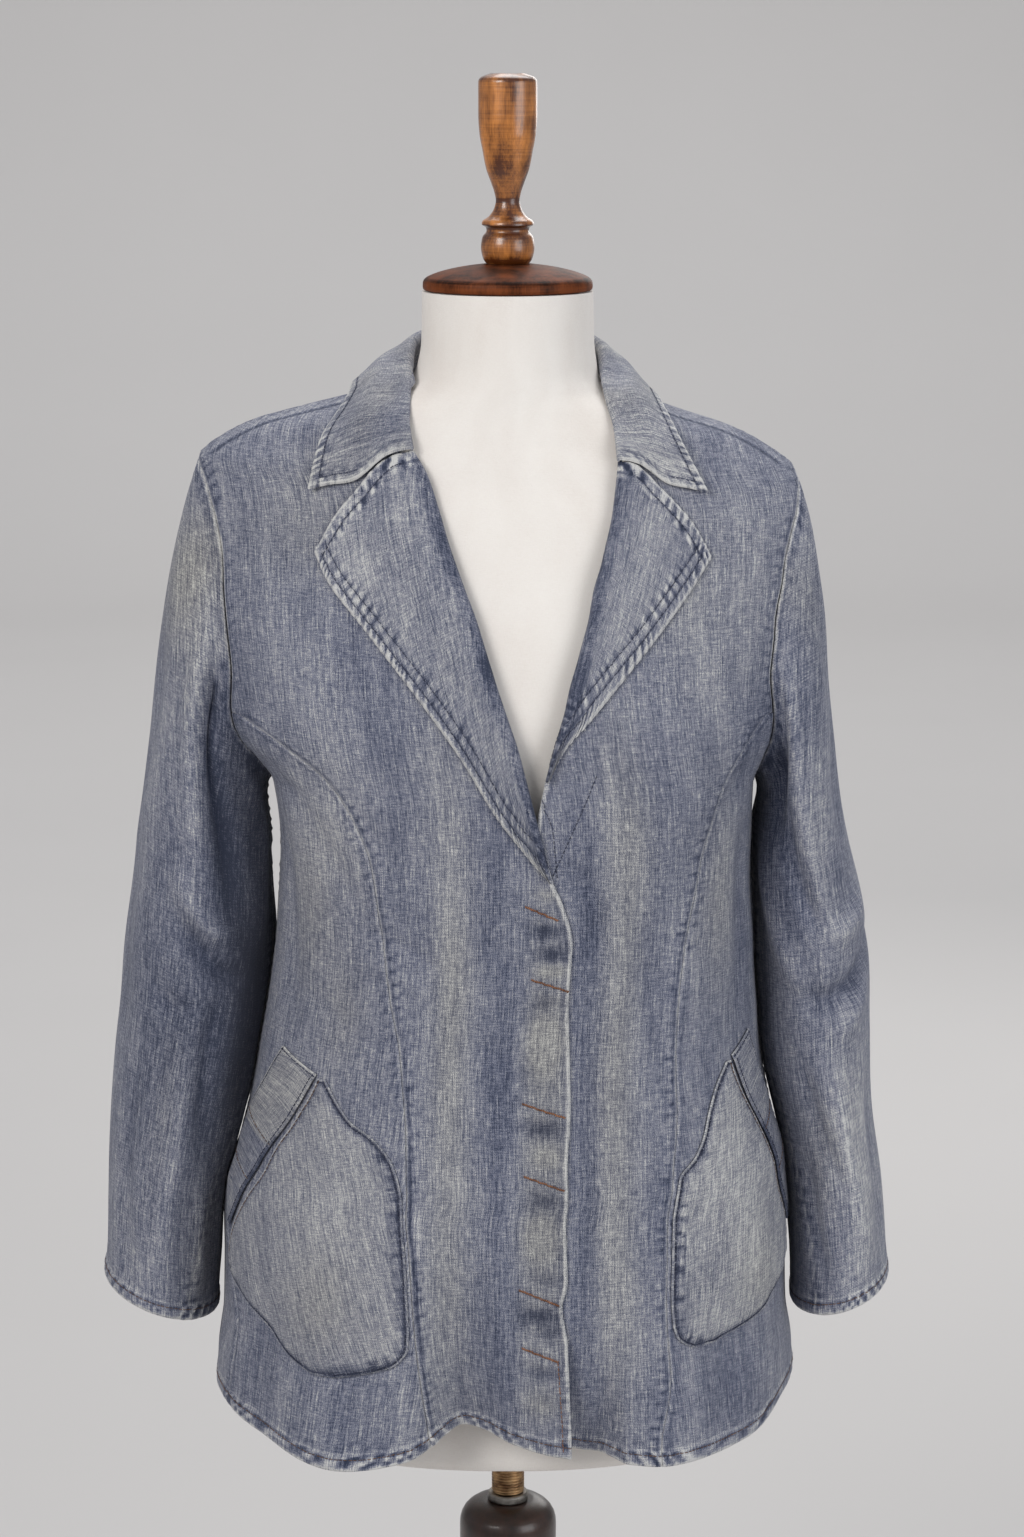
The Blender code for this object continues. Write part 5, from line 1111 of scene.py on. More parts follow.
def sleeve(name, side, sections, cuff, fullness, own_folds, own_fades_and_shade, seed, count=108):
    """From the armhole curve the rows swing out to the first oval on a curve with given
    ways out and in (two points and two tangents), go down the ovals, and then slope to
    the cuff. Folds and finishes move them along the normal."""
    start, into, turn = armhole_curve(side, count)
    share = 1 - np.abs(turn - 180.0) / 180.0
    out, forward, down, leave, arrive = read(SLEEVE_HEAD, "outward forward down leave arrive", share)
    out = side * out * mix(1.0, fullness, ease(0.5, 1.0, share))
    way = unit(np.stack([out, np.where(turn < 180, -forward, forward), -down], axis=-1))
    top = sections["height"][-1]
    ring = sleeve_ring(sections, turn, top, side)
    below = unit(sleeve_ring(sections, turn, top - 0.01, side) - ring)
    t = np.linspace(0, 1, 60)[:, None, None] ** 1.15
    cap = hermite(start + way * SLEEVE_SEAM, ring, way * leave[:, None], below * arrive[:, None], t)
    levels = np.arange(top - SLEEVE_STEP, SLEEVE_LEVEL, -SLEEVE_STEP)[:, None]
    tube = sleeve_ring(sections, turn, levels, side)
    middle, rise = cuff
    outward_of_centre = sleeve_ring(sections, turn, middle, side)[:, 0] - smooth(sections, "centre_x", middle)
    down = np.concatenate([np.linspace(0, 0.55, 10)[:-1], np.linspace(0.55, 1, 16)])[:, None]
    end = sleeve_ring(sections, turn, mix(SLEEVE_LEVEL, middle, down), side)
    end[..., 2] = mix(SLEEVE_LEVEL, middle + rise * side * outward_of_centre, down)
    base = np.concatenate([cap, tube, end])[::-1]
    angle = np.broadcast_to(turn, base.shape[:2])
    if side < 0:
        base, angle, into, share = base[:, ::-1], angle[:, ::-1], into[::-1], share[::-1]
    gauge = sides_of(base, wraps=True)
    z, along = base[..., 2], angle * ARM_DEGREE
    creased = ARM_FOLDS * creases(own_folds, angle, z, ARM_DEGREE)
    creased = creased + 0.0009 * cloud(along, z, seed, 0.016, 0.06) * between(z, 0.78, 1.34)
    creased = creased * ease(0.0, 0.02, gauge["top"]) * ease(0.0, 0.016, gauge["foot"])
    # Fades, and painted shade on the side that faces the body.
    tone, warm = patches(own_fades_and_shade, angle, z)
    pale = 0.75 + 0.25 * ease(1.18, 1.3, z)
    armhole = seam_finish(gauge["top"], along * 1.3, seed, turnings=0.0, white=pale)
    cuffed = hem_finish(gauge["foot"], along, seed + 3, width=0.01)
    aside = (angle - smooth(SLEEVE_SEAM_LINE, "turn", z)) * ARM_DEGREE
    seam = seam_finish(np.abs(aside), z, seed + 8, turnings=0.9, white=0.7)
    seam_here = fade(1.2, 1.26, z)
    relief = armhole[0] + cuffed[0] + seam[0] * seam_here
    # Painted shade in the sleeve folds' hollows and painted highlight on their crests.
    tone = tone + armhole[1] + cuffed[1] + seam[1] * seam_here + ARM_FOLD_SHADING_TONE * creased
    outer = base + gauge["normal"] * (creased + relief)[..., None]
    rest = held_off(outer) * (ease(0.0, 0.02, gauge["top"]) * fade(1.2, 1.28, z))[..., None]
    inward = -gauge["normal"]
    inward[-1] = unit(mix(inward[-1], into, ease(*MITRE, share)[:, None]))
    inner = base + rest + gauge["normal"] * creased[..., None] + inward * WALL
    middle_x, middle_y = read(sections, "centre_x centre_y", z)
    azimuth = np.unwrap(np.arctan2(base[..., 1] - middle_y, base[..., 0] - middle_x), axis=1)
    whole = 2 * np.pi
    away_side = azimuth[:, np.abs(angle[0] - 150.0).argmin()][:, None] - (0.0 if side > 0 else np.pi)
    grain = as_grain((azimuth - whole * np.round(away_side / whole)) * ARM_RADIUS, gauge["foot"], seed)
    return shell(name, outer + rest, inner, tone, warm, grain, wraps=True, swell=0.42)


# -------------------------------------------------------- collar and lapels

ROLL_COLUMNS = 14
RUN_IN = 0.012             # how far the facing goes on inside the front
LAPEL_NARROW = 0.03        # a lapel narrower than this rolls and stands off less
LAPEL_LEAN = (28, -24)     # of the warp to the upright, right and left
LAPEL_ROWS = {"lapel_right": (0.0054, 0.012), "lapel_left": (0.007, 0.0138)}
GORGE_ROW = 0.0088
# Dents across the fall: place along it, depth and width.
COLLAR_DENTS = ((0.045, -0.0016, 0.01), (0.08, 0.0012, 0.011), (0.33, -0.0014, 0.01), (0.3, 0.001, 0.009))
COLLAR_ROW = 0.0068        # stitches along the collar's edge
COLLAR_END_ROW = 0.006
LAPEL_ROUND = LAPEL_CLEAR + WALL / 2 + FACED_WALL

LAPEL_FOLDS = {
    "lapel_right": table("ax ay bx by bow width depth", [
        (-0.082, 1.362, -0.036, 1.298, 0.002, 0.003, -0.0006),
        (-0.092, 1.35, -0.046, 1.285, 0.001, 0.004, 0.0005),
        (-0.06, 1.3, -0.03, 1.24, -0.002, 0.006, 0.0008),
        (-0.036, 1.24, -0.01, 1.19, 0.002, 0.005, -0.0007),
        (-0.104, 1.33, -0.08, 1.3, 0.001, 0.005, -0.0005),
    ]),
    "lapel_left": table("ax ay bx by bow width depth", [
        (0.094, 1.355, 0.062, 1.282, -0.002, 0.004, -0.0006),
        (0.11, 1.335, 0.076, 1.27, 0.001, 0.006, 0.0007), (0.072, 1.28, 0.05, 1.23, 0.002, 0.005, -0.0006),
    ]),
}


def lapel(name, side, sections, gorge, seed, columns=36, row_count=216):
    """A faced sheet. Shares s and t run from the roll line to the edge and from the
    gorge to the bottom. Beside the roll line its section is half an ellipse round the
    front's edge, and it goes on inside as the facing."""
    s = (dense_ends(2 * columns, 0.6)[columns:] - 0.5)[None, :] * 2
    t = dense_ends(row_count, 0.22)[:, None]
    roll_x, roll_z, edge_x, edge_z = read(sections, "roll_x roll_z edge_x edge_z", t)
    wide = np.hypot(edge_x - roll_x, edge_z - roll_z)
    first = np.minimum(LAPEL_ROUND / wide, 0.35)

    def place(share):
        """Between the roll line and the edge, and drawn to the gorge toward the top."""
        x, z = mix(roll_x, edge_x, share), mix(roll_z, edge_z, share)
        gorge_x, gorge_z = read(gorge, "x z", share)
        top_x, top_z = mix(roll_x[:1], edge_x[:1], share), mix(roll_z[:1], edge_z[:1], share)
        pull = (1 - t) ** 4
        return x + pull * (gorge_x - top_x), z + pull * (gorge_z - top_z)

    x, z = place(first + (1 - first) * s)
    broad = np.clip(np.abs(edge_x - roll_x) / LAPEL_NARROW, 0, 1)
    lift = LAPEL_CLEAR + LAPEL_ROLL * broad * (1 - s) ** 2 * (1 - (1 - s) ** 6)
    turn = turn_at_x(x, z)
    rx, rz = place(0 * first)
    root = cloth(turn[:, :1], z[:, :1])
    up = unit(cloth(turn[:, :1], z[:, :1], 0.001) - root)
    toward = cloth(turn_at_x(rx, rz), rz) - root
    reach = np.linalg.norm(toward, axis=-1, keepdims=True) * (1 + 0.22 * waver(rz, seed, 0.021)[..., None])
    toward = unit(toward)
    angle = np.radians(np.linspace(180, 0, ROLL_COLUMNS + 1)[:-1])[None, :, None]
    into = np.linspace(RUN_IN, 0, 7)[:-1][None, :, None] * np.minimum(1.0, wide / LAPEL_NARROW)[..., None]

    def rolled_part(half_across, half_up):
        arc = root - up * WALL / 2 + toward * half_across * np.sin(angle) + up * half_up * np.cos(angle)
        return np.concatenate([arc[:, :1] - toward * into, arc], axis=1)

    top_side = cloth(turn, z, lift)
    across, from_top = run(top_side, 1), run(top_side, 0)
    from_edge = across[:, -1:] - across
    relief, tone = stitched_finish(from_edge, from_top, seed, LAPEL_ROWS[name])
    gorge_relief, gorge_tone = stitched_finish(from_top, across, seed + 4, (GORGE_ROW,), 2.3)
    inside_corner = ease(0.003, 0.008, from_edge)
    relief = (relief + gorge_relief * inside_corner) * ease(0.0, 0.12, wide / LAPEL_NARROW)
    tone = tone + gorge_tone * inside_corner + 0.12 + 0.12 * cloud(x, z, seed, 0.02, 0.03)
    # Painted shade: a strip beside the roll line is darkened where the lapel turns away into the neck; it is
    # partly the less faded cloth there too.
    near_roll = fade(0.0035, 0.0075, across)
    tone = tone - (0.55 + 0.25 * waver(z, seed + 6, 0.016)) * near_roll * between(z, 1.1, 1.37)
    face = cloth(turn, z, lift + FACED_WALL + relief + folds(LAPEL_FOLDS[name], x, z))
    outer = np.concatenate([rolled_part(reach, LAPEL_ROUND), face], axis=1)
    inner = np.concatenate([rolled_part(np.maximum(reach - FACED_WALL, 0.0003), LAPEL_ROUND - FACED_WALL),
                            top_side], axis=1)
    extra = outer.shape[1] - tone.shape[1]
    # The rolled strip is a little darker still: painted shade where it turns inward.
    tone = np.concatenate([np.repeat(tone[:, :1] - 0.1, extra, axis=1), tone], axis=1)
    warm = np.full(tone.shape, 0.15)
    lean = np.radians(LAPEL_LEAN[0 if side < 0 else 1])
    across_grain = run(outer, 1)
    across_grain, along_grain = side * (across_grain[:, -1:] - across_grain), -run(outer, 0)
    grain = as_grain(across_grain * np.cos(lean) + along_grain * np.sin(lean),
                     along_grain * np.cos(lean) - across_grain * np.sin(lean), seed)
    order = slice(None, None, -1 if side < 0 else 1)
    return shell(name, *(a[::-1, order] for a in (outer, inner, tone, warm, grain)), swell=0.45)


def collar_profile(share, q):
    """From the seam up the stand, over the fold and down the fall to the edge, as one
    curve through the marks: between two of them a cubic whose slopes are those of the
    chords across each mark."""
    fold = np.stack(read(COLLAR, "fold_x fold_y fold_z", share), axis=-1)
    edge = np.stack(read(COLLAR, "edge_x edge_y edge_z", share), axis=-1)
    turn, height, sag = read(COLLAR, "seam_turn seam_height sag", share)
    neck = body_raw(turn, height) - outward(body_raw, turn, height, 0.2, STEP) * WALL / 2
    seam = neck + unit(fold - neck) * COLLAR_SEAM
    out = unit((edge - fold) * np.array([1.0, 1.0, 0.0]))
    up, sag = np.array([0.0, 0.0, 1.0]), sag[..., None]
    least, part, most = COLLAR_ROUND
    round_off = np.clip(np.linalg.norm(fold - seam, axis=-1, keepdims=True) * part, least, most)
    full = COLLAR_BULGE * unit(np.cross(np.cross(edge - fold, up), edge - fold))
    middle = mix(fold, edge, 0.5) + full - up * sag - COLLAR_FORWARD * sag * np.array([0.0, 1.0, 0.0])
    over = fold + out * round_off
    marks = np.stack([seam, mix(seam, fold, 0.55), fold - up * round_off, over,
                      mix(over, middle + up * sag * 0.85, 0.45), middle, mix(middle, edge, 0.55), edge])
    places = np.array(COLLAR_MARKS)
    gap = np.diff(places)
    chord = np.diff(marks, axis=0) / gap[:, None, None]
    slope = np.concatenate([chord[:1], (chord[1:] + chord[:-1]) / 2, chord[-1:]])
    i = np.clip(np.searchsorted(places, q, side="right") - 1, 0, len(places) - 2)
    h, t = gap[i][:, None, None], ((q - places[i]) / gap[i])[:, None, None]
    return hermite(marks[i], marks[i + 1], slope[i] * h, slope[i + 1] * h, t)


def collar(columns=210, row_count=52):
    """The faced collar: rows from its outer edge over the fold to its seam, columns from
    the left gorge round the back of the neck to the right one."""
    q = np.concatenate([np.linspace(1.0, 0.9, 12)[:-1], np.linspace(0.9, 0.0, row_count - 11)])
    middle = collar_profile(dense_ends(columns, 0.5)[::-1], q)
    gauge = sides_of(middle)
    fall = ease(COLLAR_FOLD, COLLAR_FOLD + 0.1, q)[:, None]
    away = gauge["foot"]
    along = gauge["low"][:1] + 0 * away
    relief, tone = stitched_finish(away, along, 71, (COLLAR_ROW,))
    for side in ("low", "high"):
        end_relief, end_tone = stitched_finish(gauge[side], away, 74, (COLLAR_END_ROW,), 0.8)
        here = ease(0.003, 0.008, away) * fall
        relief, tone = relief + end_relief * here, tone + end_tone * here
    relief = relief + 0.0007 * cloud(along, away, 77, 0.03, 0.018) * fall
    for at, depth, width in COLLAR_DENTS:
        relief = relief + depth * hump(along + 0.25 * away, at, width) * fall * ease(0.004, 0.02, away)
    tone = tone + mix(0.3, 0.02, along / along.max()) + 0.12 * cloud(along, away, 78, 0.025, 0.012)
    tone = tone + 0.1 * hump(q, COLLAR_FOLD, 0.06)[:, None]
    warm = 0.45 + 0.3 * cloud(along, away, 79, 0.03, 0.02)
    half = FACED_WALL / 2
    outer, inner = (settle(middle + gauge["normal"] * out) for out in ((half + relief)[..., None], -half))
    return shell("collar", outer, inner, tone, warm, as_grain(along, away, 6), swell=0.45)


# ----------------------------------------------------------------- pockets

OPENING_FOOT = 0.806       # height of the foot of a pocket's slanted opening
PUCKER_TOP = 0.905         # a pocket's front edge puckers below this
POCKET_ROWS = 118
BAND_LENGTH = 0.14


def loop_line(outer, inset, normal):
    """The border of a grid moved toward its inside by `inset`, with the normals there."""
    (loop, _), = border(outer.shape[0], outer.shape[1], False)
    points, normals = outer.reshape(-1, 3)[loop], normal.reshape(-1, 3)[loop]
    tangent = unit(np.roll(points, -2, axis=0) - np.roll(points, 2, axis=0))
    return points + unit(np.cross(normals, tangent)) * inset, normals, loop


def pocket(name, side, sections, seed, columns=64):
    """A patch between two edges. Over the panel it lies at 0.5 mm + (LIE - 0.3 mm) *
    ease(distance from its border) + 1 mm * sin(pi u) * sin(pi v), so it is filled a little."""
    upright = {key: column[::-1] for key, column in sections.items()}
    heights = np.linspace(upright["height"][0], upright["height"][-1], POCKET_ROWS)
    edges = read(upright, "side front", heights)
    u, v = dense_ends(columns, 0.6), np.linspace(0, 1, POCKET_ROWS)[:, None]
    turn = np.minimum(*edges)[:, None] + np.abs(edges[1] - edges[0])[:, None] * u
    height = np.broadcast_to(heights[:, None], turn.shape)
    base = cloth(turn, height)
    (loop, _), = border(*turn.shape, False)
    away, along = beside(base, base.reshape(-1, 3)[np.append(loop, loop[0])])
    outward_column, front_column = (0, -1) if side < 0 else (-1, 0)
    from_slant, _ = beside(base, base[heights > OPENING_FOOT][:, outward_column])
    from_front, along_front = beside(base, base[:, front_column])
    rope, near = ropes(along, seed, 0.0096), between(away, 0.0022, 0.009)
    front_rope = ropes(along_front, seed + 2, 0.0125)
    front_near = between(from_front, 0.002, 0.0085) * (height < PUCKER_TOP)
    lie = 0.0005 + (LIE - 0.0003) * ease(0.0, 0.009, away) + 0.001 * np.sin(np.pi * u) * np.sin(np.pi * v)
    relief = 0.0004 * rope * near + 0.0004 * front_rope * front_near - 0.0005 * hump(away, 0.0017, 0.0007)
    relief = relief + 0.0006 * cloud(turn * DEGREE, height, seed + 3, 0.022, 0.026) * ease(0.004, 0.015, away)
    at_slant = hump(from_slant, 0.0, 0.0022)
    tone = (0.18 if side < 0 else 0.32) - 0.7 * hump(away, 0.0026, 0.0014) * (1 - at_slant)
    tone = tone + 0.46 * fade(0.0002, 0.0013, away) * at_slant
    tone = tone - 0.34 * np.clip(-rope, 0, 1) * near - 0.75 * np.clip(-front_rope, 0, 1) * front_near
    tone = tone + 0.12 * hump(turn, turn.mean(), 9.0) * hump(height, 0.86, 0.05)
    warm = 0.35 + 0.5 * hump(turn, turn.mean() + 4, 7.0) * hump(height, 0.8, 0.035)
    across = girth(turn, heights, 50.0 * -side)
    grain = as_grain(across + 0.12 * height, height - 0.12 * across, seed)
    return shell_on_body(name, turn, height, (lie, lie + WALL + relief), tone, warm, grain, swell=0.35)


BAND_CROSSINGS = (0.49, 0.74)


def pocket_band(name, side, sections, seed):
    """The sloping band beside a pocket's opening: shares t from its top to its foot and
    s from the opening outward, with two cross seams."""
    t = np.linspace(1, 0, 84)[:, None]
    s = dense_ends(26, 0.55)[::side]
    inner_turn, inner_z, outer_turn, outer_z = read(sections, "inner_turn inner_z outer_turn outer_z", t)
    turn, height = mix(inner_turn, outer_turn, s), mix(inner_z, outer_z, s)
    share = t + 0 * s
    gauge = sides_of(cloth(turn, height))
    outside = "low" if side < 0 else "high"
    away = np.minimum(gauge[outside], gauge["top"])
    rope, near = ropes(gauge["foot"], seed, 0.008), between(away, 0.002, 0.008)
    lie = 0.0005 + (BAND_LIE - 0.0003) * ease(0.0, 0.005, away)
    relief = 0.0003 * rope * near - 0.0005 * hump(away, 0.0018, 0.0007)
    tone = 0.1 + 0.4 * fade(0.0002, 0.0012, away) - 0.22 * np.clip(-rope, 0, 1) * near
    for crossing in BAND_CROSSINGS:
        relief = relief - 0.0006 * hump(share, crossing, 0.01)
        tone = tone - 0.24 * hump(share, crossing + 0.012, 0.014)
    # Painted shadow: the band's edge along the opening is darkened, most toward its foot, where the opening's
    # shadow falls.
    tone = tone - 0.8 * fade(0.0006, 0.0026, gauge[OPPOSITE[outside]]) * ease(0.2, 0.6, share)
    upper = (1.0 if side < 0 else 0.1) * (share < BAND_CROSSINGS[0])
    tone = tone + 0.1 * upper - 0.22 * between(share, *BAND_CROSSINGS)
    grain = as_grain(gauge["foot"], gauge["low"], seed)
    warm = 0.2 + 0.5 * upper
    return shell_on_body(name, turn, height, (lie, lie + WALL + relief), tone, warm, grain, swell=0.35)


# --------------------------------------------------------------- materials

def feed(tree, sockets, values):
    """Each value is a constant, or the output that the socket is linked from."""
    for key, value in values.items():
        if isinstance(value, bpy.types.NodeSocket):
            tree.links.new(value, sockets[key])
        else:
            sockets[key].default_value = value


def node(tree, kind, inputs=None, **settings):
    made = tree.nodes.new("ShaderNode" + kind)
    for key, value in settings.items():
        setattr(made, key, value)
    feed(tree, made.inputs, inputs or {})
    return made


def math(tree, operation, *values, **settings):
    return node(tree, "Math", dict(enumerate(values)), operation=operation, **settings).outputs[0]


def sum_of(tree, *terms):
    """Adds (output, factor) pairs and plain numbers."""
    total = sum(term for term in terms if isinstance(term, float))
    for term in terms:
        if not isinstance(term, float):
            total = math(tree, "MULTIPLY_ADD", *term, total)
    return total


def streaks(tree, vector, scale, detail=2.0):
    """Noise from about -0.5 to 0.5, stretched by its own scale in each direction."""
    scaled = node(tree, "VectorMath", {0: vector, 1: scale}, operation="MULTIPLY").outputs[0]
    noise = node(tree, "TexNoise", {"Vector": scaled, "Scale": 1.0, "Detail": detail, "Roughness": 0.5})
    return math(tree, "SUBTRACT", noise.outputs["Fac"], 0.5)


def ramp(tree, at, stops):
    made = node(tree, "ValToRGB", {"Fac": at})
    elements = made.color_ramp.elements
    while len(elements) < len(stops):
        elements.new(0.5)
    for element, (place, colour) in zip(elements, stops):
        element.position = place
        element.color = (*colour, 1.0)
    return made.outputs["Color"]


def group(name, inputs, outputs):
    """An empty shader group with its sockets, the outputs of its input node and the
    inputs of its output node."""
    tree = bpy.data.node_groups.new(name, "ShaderNodeTree")
    for way, sockets in (("INPUT", inputs), ("OUTPUT", outputs)):
        for key, kind in sockets.items():
            tree.interface.new_socket(key, in_out=way, socket_type="NodeSocket" + kind)
    return tree, tree.nodes.new("NodeGroupInput").outputs, tree.nodes.new("NodeGroupOutput").inputs


def mixed(tree, share, first, second):
    made = node(tree, "Mix", {"Factor": share, "A": first, "B": second}, data_type="RGBA")
    return made.outputs["Result"]


# Colours of the cloth by its shade, dark to worn, and the same gone beige.
INDIGO = [(0.0, (0.02, 0.032, 0.07)), (0.22, (0.058, 0.074, 0.134)), (0.44, (0.13, 0.148, 0.228)),
          (0.62, (0.222, 0.236, 0.314)), (0.8, (0.35, 0.356, 0.405)), (1.0, (0.56, 0.56, 0.57))]
FADED = [(0.0, (0.04, 0.044, 0.066)), (0.22, (0.09, 0.094, 0.12)), (0.44, (0.172, 0.173, 0.192)),
         (0.62, (0.264, 0.261, 0.264)), (0.8, (0.38, 0.378, 0.362)), (1.0, (0.58, 0.57, 0.54))]


def worn_twill():
    """Ring-dyed cotton. Shade = base + tone / 2 + slubs along the warp + weft + fading
    in clouds + the twill's slanted ribs; the ramp gives that shade its colour, and
    warmth mixes in a ramp of the same shades without their blue."""
    tree, given, out = group("worn twill", {"Grain": "Vector", "Tone": "Float", "Warm": "Float"},
                             {"Color": "Color", "Height": "Float", "Roughness": "Float"})
    grain = given["Grain"]
    slub = streaks(tree, grain, (1500, 120, 1), 1.0)
    long_slub = streaks(tree, grain, (1100, 24, 3), 1.0)
    weft = streaks(tree, grain, (170, 1600, 5), 1.0)
    speck = streaks(tree, grain, (1600, 1300, 7), 1.0)
    fading = streaks(tree, grain, (46, 11, 9))
    parts = node(tree, "SeparateXYZ", {0: grain}).outputs
    twill = math(tree, "SINE", sum_of(tree, (parts[0], 4200.0), (parts[1], 2900.0)))
    shade = sum_of(tree, 0.505, (given["Tone"], 0.5), (slub, 0.84), (long_slub, 0.62), (weft, 0.66),
                   (speck, 0.85), (fading, 0.4), (twill, 0.035))
    warmth = math(tree, "MULTIPLY_ADD", given["Warm"], 0.55, 0.36, use_clamp=True)
    feed(tree, out, {
        "Color": mixed(tree, warmth, ramp(tree, shade, INDIGO), ramp(tree, shade, FADED)),
        "Height": sum_of(tree, (slub, 0.9), (weft, 0.5), (speck, 0.5), (twill, 0.16), (long_slub, 0.4)),
        "Roughness": sum_of(tree, 0.86, (speck, 0.15))})
    return tree


def wood_grain():
    """Turned wood: fibres along the axis, slow darker figure, and a shade of its own."""
    tree, given, out = group("wood grain", {"Dark": "Color", "Light": "Color", "Shade": "Float"},
                             {"Color": "Color", "Height": "Float"})
    place = node(tree, "TexCoord").outputs["Object"]
    fibre = streaks(tree, place, (620, 620, 40), 3.0)
    figure = streaks(tree, place, (90, 90, 45), 4.0)
    lathe = streaks(tree, place, (25, 25, 950), 1.0)
    pores = streaks(tree, place, (2600, 2600, 90), 1.0)
    share = sum_of(tree, 0.5, (fibre, 0.7), (figure, 2.0), (pores, 0.6), (lathe, 0.5), (given["Shade"], 1.0))
    share = node(tree, "Clamp", {0: share}).outputs[0]
    feed(tree, out, {"Color": mixed(tree, share, given["Dark"], given["Light"]),
                     "Height": sum_of(tree, (fibre, 0.4), (pores, 0.4), (lathe, 0.5))})
    return tree


def surface(name, roughness, **sockets):
    """A new material's tree, and a function that feeds its shader, and its bump if a
    height is given, and returns the material."""
    made = bpy.data.materials.new(name)
    made.use_nodes = True
    tree = made.node_tree
    shader = tree.nodes["Principled BSDF"].inputs
    feed(tree, shader, {"Roughness": roughness})
    feed(tree, shader, {key.replace("_", " "): value for key, value in sockets.items()})

    def looks(colour, height=None, distance=0.0, **more):
        feed(tree, shader, {"Base Color": colour, **more})
        if height is not None:
            bump = node(tree, "Bump", {"Height": height, "Distance": distance, "Strength": 1.0})
            feed(tree, shader, {"Normal": bump.outputs["Normal"]})
        return made

    return tree, looks


def attribute(tree, name):
    return node(tree, "Attribute", attribute_name=name).outputs


def denim(name, twill):
    """Matt washed denim with a faint sheen, whose bump is the twill's height."""
    tree, looks = surface(name, 0.88, Specular_IOR_Level=0.18, Sheen_Weight=0.1, Sheen_Roughness=0.6)
    grain, tone, warm = (attribute(tree, key) for key in ("grain", "tone", "warm"))
    own = node(tree, "Group", {"Grain": grain["Vector"], "Tone": tone["Fac"], "Warm": warm["Fac"]},
               node_tree=twill).outputs
    return looks(own["Color"], own["Height"], 0.00042, Roughness=own["Roughness"])


def sewing_thread(name, dark, light):
    """Spun thread: its colour wanders slowly and its surface is fine and hairy."""
    tree, looks = surface(name, 0.75, Specular_IOR_Level=0.25)
    place = node(tree, "TexCoord").outputs["Object"]
    share = sum_of(tree, 0.5, (streaks(tree, place, (160, 160, 160)), 1.6))
    hairs = streaks(tree, place, (5200, 5200, 5200))
    return looks(ramp(tree, share, [(0.25, dark), (0.75, light)]), hairs, 0.00012)


def cotton_cover(name):
    """Cream jersey: fine crossing yarns, and a slow warm unevenness."""
    tree, looks = surface(name, 0.86, Specular_IOR_Level=0.2, Sheen_Weight=0.12)
    grain = attribute(tree, "grain")["Vector"]
    yarn = streaks(tree, grain, (2100, 260, 1), 1.0)
    cross = streaks(tree, grain, (240, 2100, 3), 1.0)
    slow = streaks(tree, grain, (16, 11, 5))
    share = sum_of(tree, 0.5, (slow, 0.9), (yarn, 0.3), (cross, 0.3))
    creams = [(0.0, (0.7, 0.635, 0.585)), (0.5, (0.8, 0.755, 0.71)), (1.0, (0.87, 0.84, 0.8))]
    return looks(ramp(tree, share, creams), sum_of(tree, (yarn, 0.6), (cross, 0.6)), 0.00025)


def varnished(name, grain, dark, light, roughness, coat, rings=(), shine=0.5):
    """Varnished wood. `rings` are heights, half widths and strengths of darker bands."""
    tree, looks = surface(name, roughness, Coat_Weight=coat, Coat_Roughness=0.16, Specular_IOR_Level=shine)
    height = node(tree, "SeparateXYZ", {0: node(tree, "TexCoord").outputs["Object"]}).outputs[2]
    shade = 0.0
    for middle, half, strength in rings:
        away = math(tree, "ABSOLUTE", math(tree, "SUBTRACT", height, middle))
        ring = node(tree, "MapRange", {"Value": away, "From Min": half * 0.6, "From Max": half * 1.4,
                                       "To Min": -strength, "To Max": 0.0}).outputs[0]
        shade = ring if isinstance(shade, float) else sum_of(tree, (shade, 1.0), (ring, 1.0))
    colours = {"Dark": (*dark, 1.0), "Light": (*light, 1.0)}
    wood = node(tree, "Group", {**colours, "Shade": shade}, node_tree=grain).outputs
    return looks(wood["Color"], wood["Height"], 0.00018)


def worn_metal(name, dark, light, roughness):
    """Metal gone dull in patches, finely scratched round."""
    tree, looks = surface(name, roughness, Metallic=1.0)
    place = node(tree, "TexCoord").outputs["Object"]
    patch = streaks(tree, place, (110, 110, 160), 4.0)
    scratch = streaks(tree, place, (70, 70, 4200), 1.0)
    share = sum_of(tree, 0.5, (patch, 2.0), (scratch, 0.5))
    return looks(ramp(tree, share, [(0.2, dark), (0.85, light)]), scratch, 0.00006,
                 Roughness=sum_of(tree, roughness, (patch, 0.5)))


WOOD = wood_grain()
DENIM = denim("washed denim", worn_twill())
DARK_THREAD = sewing_thread("dark blue thread", (0.016, 0.02, 0.042), (0.05, 0.058, 0.095))
BROWN_THREAD = sewing_thread("brown thread", (0.06, 0.036, 0.03), (0.17, 0.098, 0.062))
RUST_THREAD = sewing_thread("rust brown thread", (0.15, 0.062, 0.03), (0.33, 0.15, 0.078))
COTTON = cotton_cover("cream cotton")
# The dark bands at 1.553 and 1.56, at the finial's narrow neck and the foot of its cup, are painted shade
# under the cup's overhang.
GOLDEN_WOOD = varnished("golden brown varnish", WOOD, (0.075, 0.018, 0.003), (0.6, 0.222, 0.047), 0.32, 0.5, [
    (1.511, 0.003, 0.45), (1.53, 0.007, 0.3), (1.535, 0.0016, 0.6), (1.553, 0.0014, 0.9),
    (1.56, 0.018, 0.22), (1.6385, 0.004, 0.35)])
DARK_WOOD = varnished("dark brown varnish", WOOD, (0.016, 0.004, 0.001), (0.17, 0.044, 0.012), 0.5, 0.0,
                      [(1.4935, 0.0022, -0.25), (1.499, 0.0012, 0.35)], shine=0.12)
BLACK_WOOD = varnished("black varnish", WOOD, (0.008, 0.004, 0.003), (0.044, 0.017, 0.01), 0.36, 0.25)
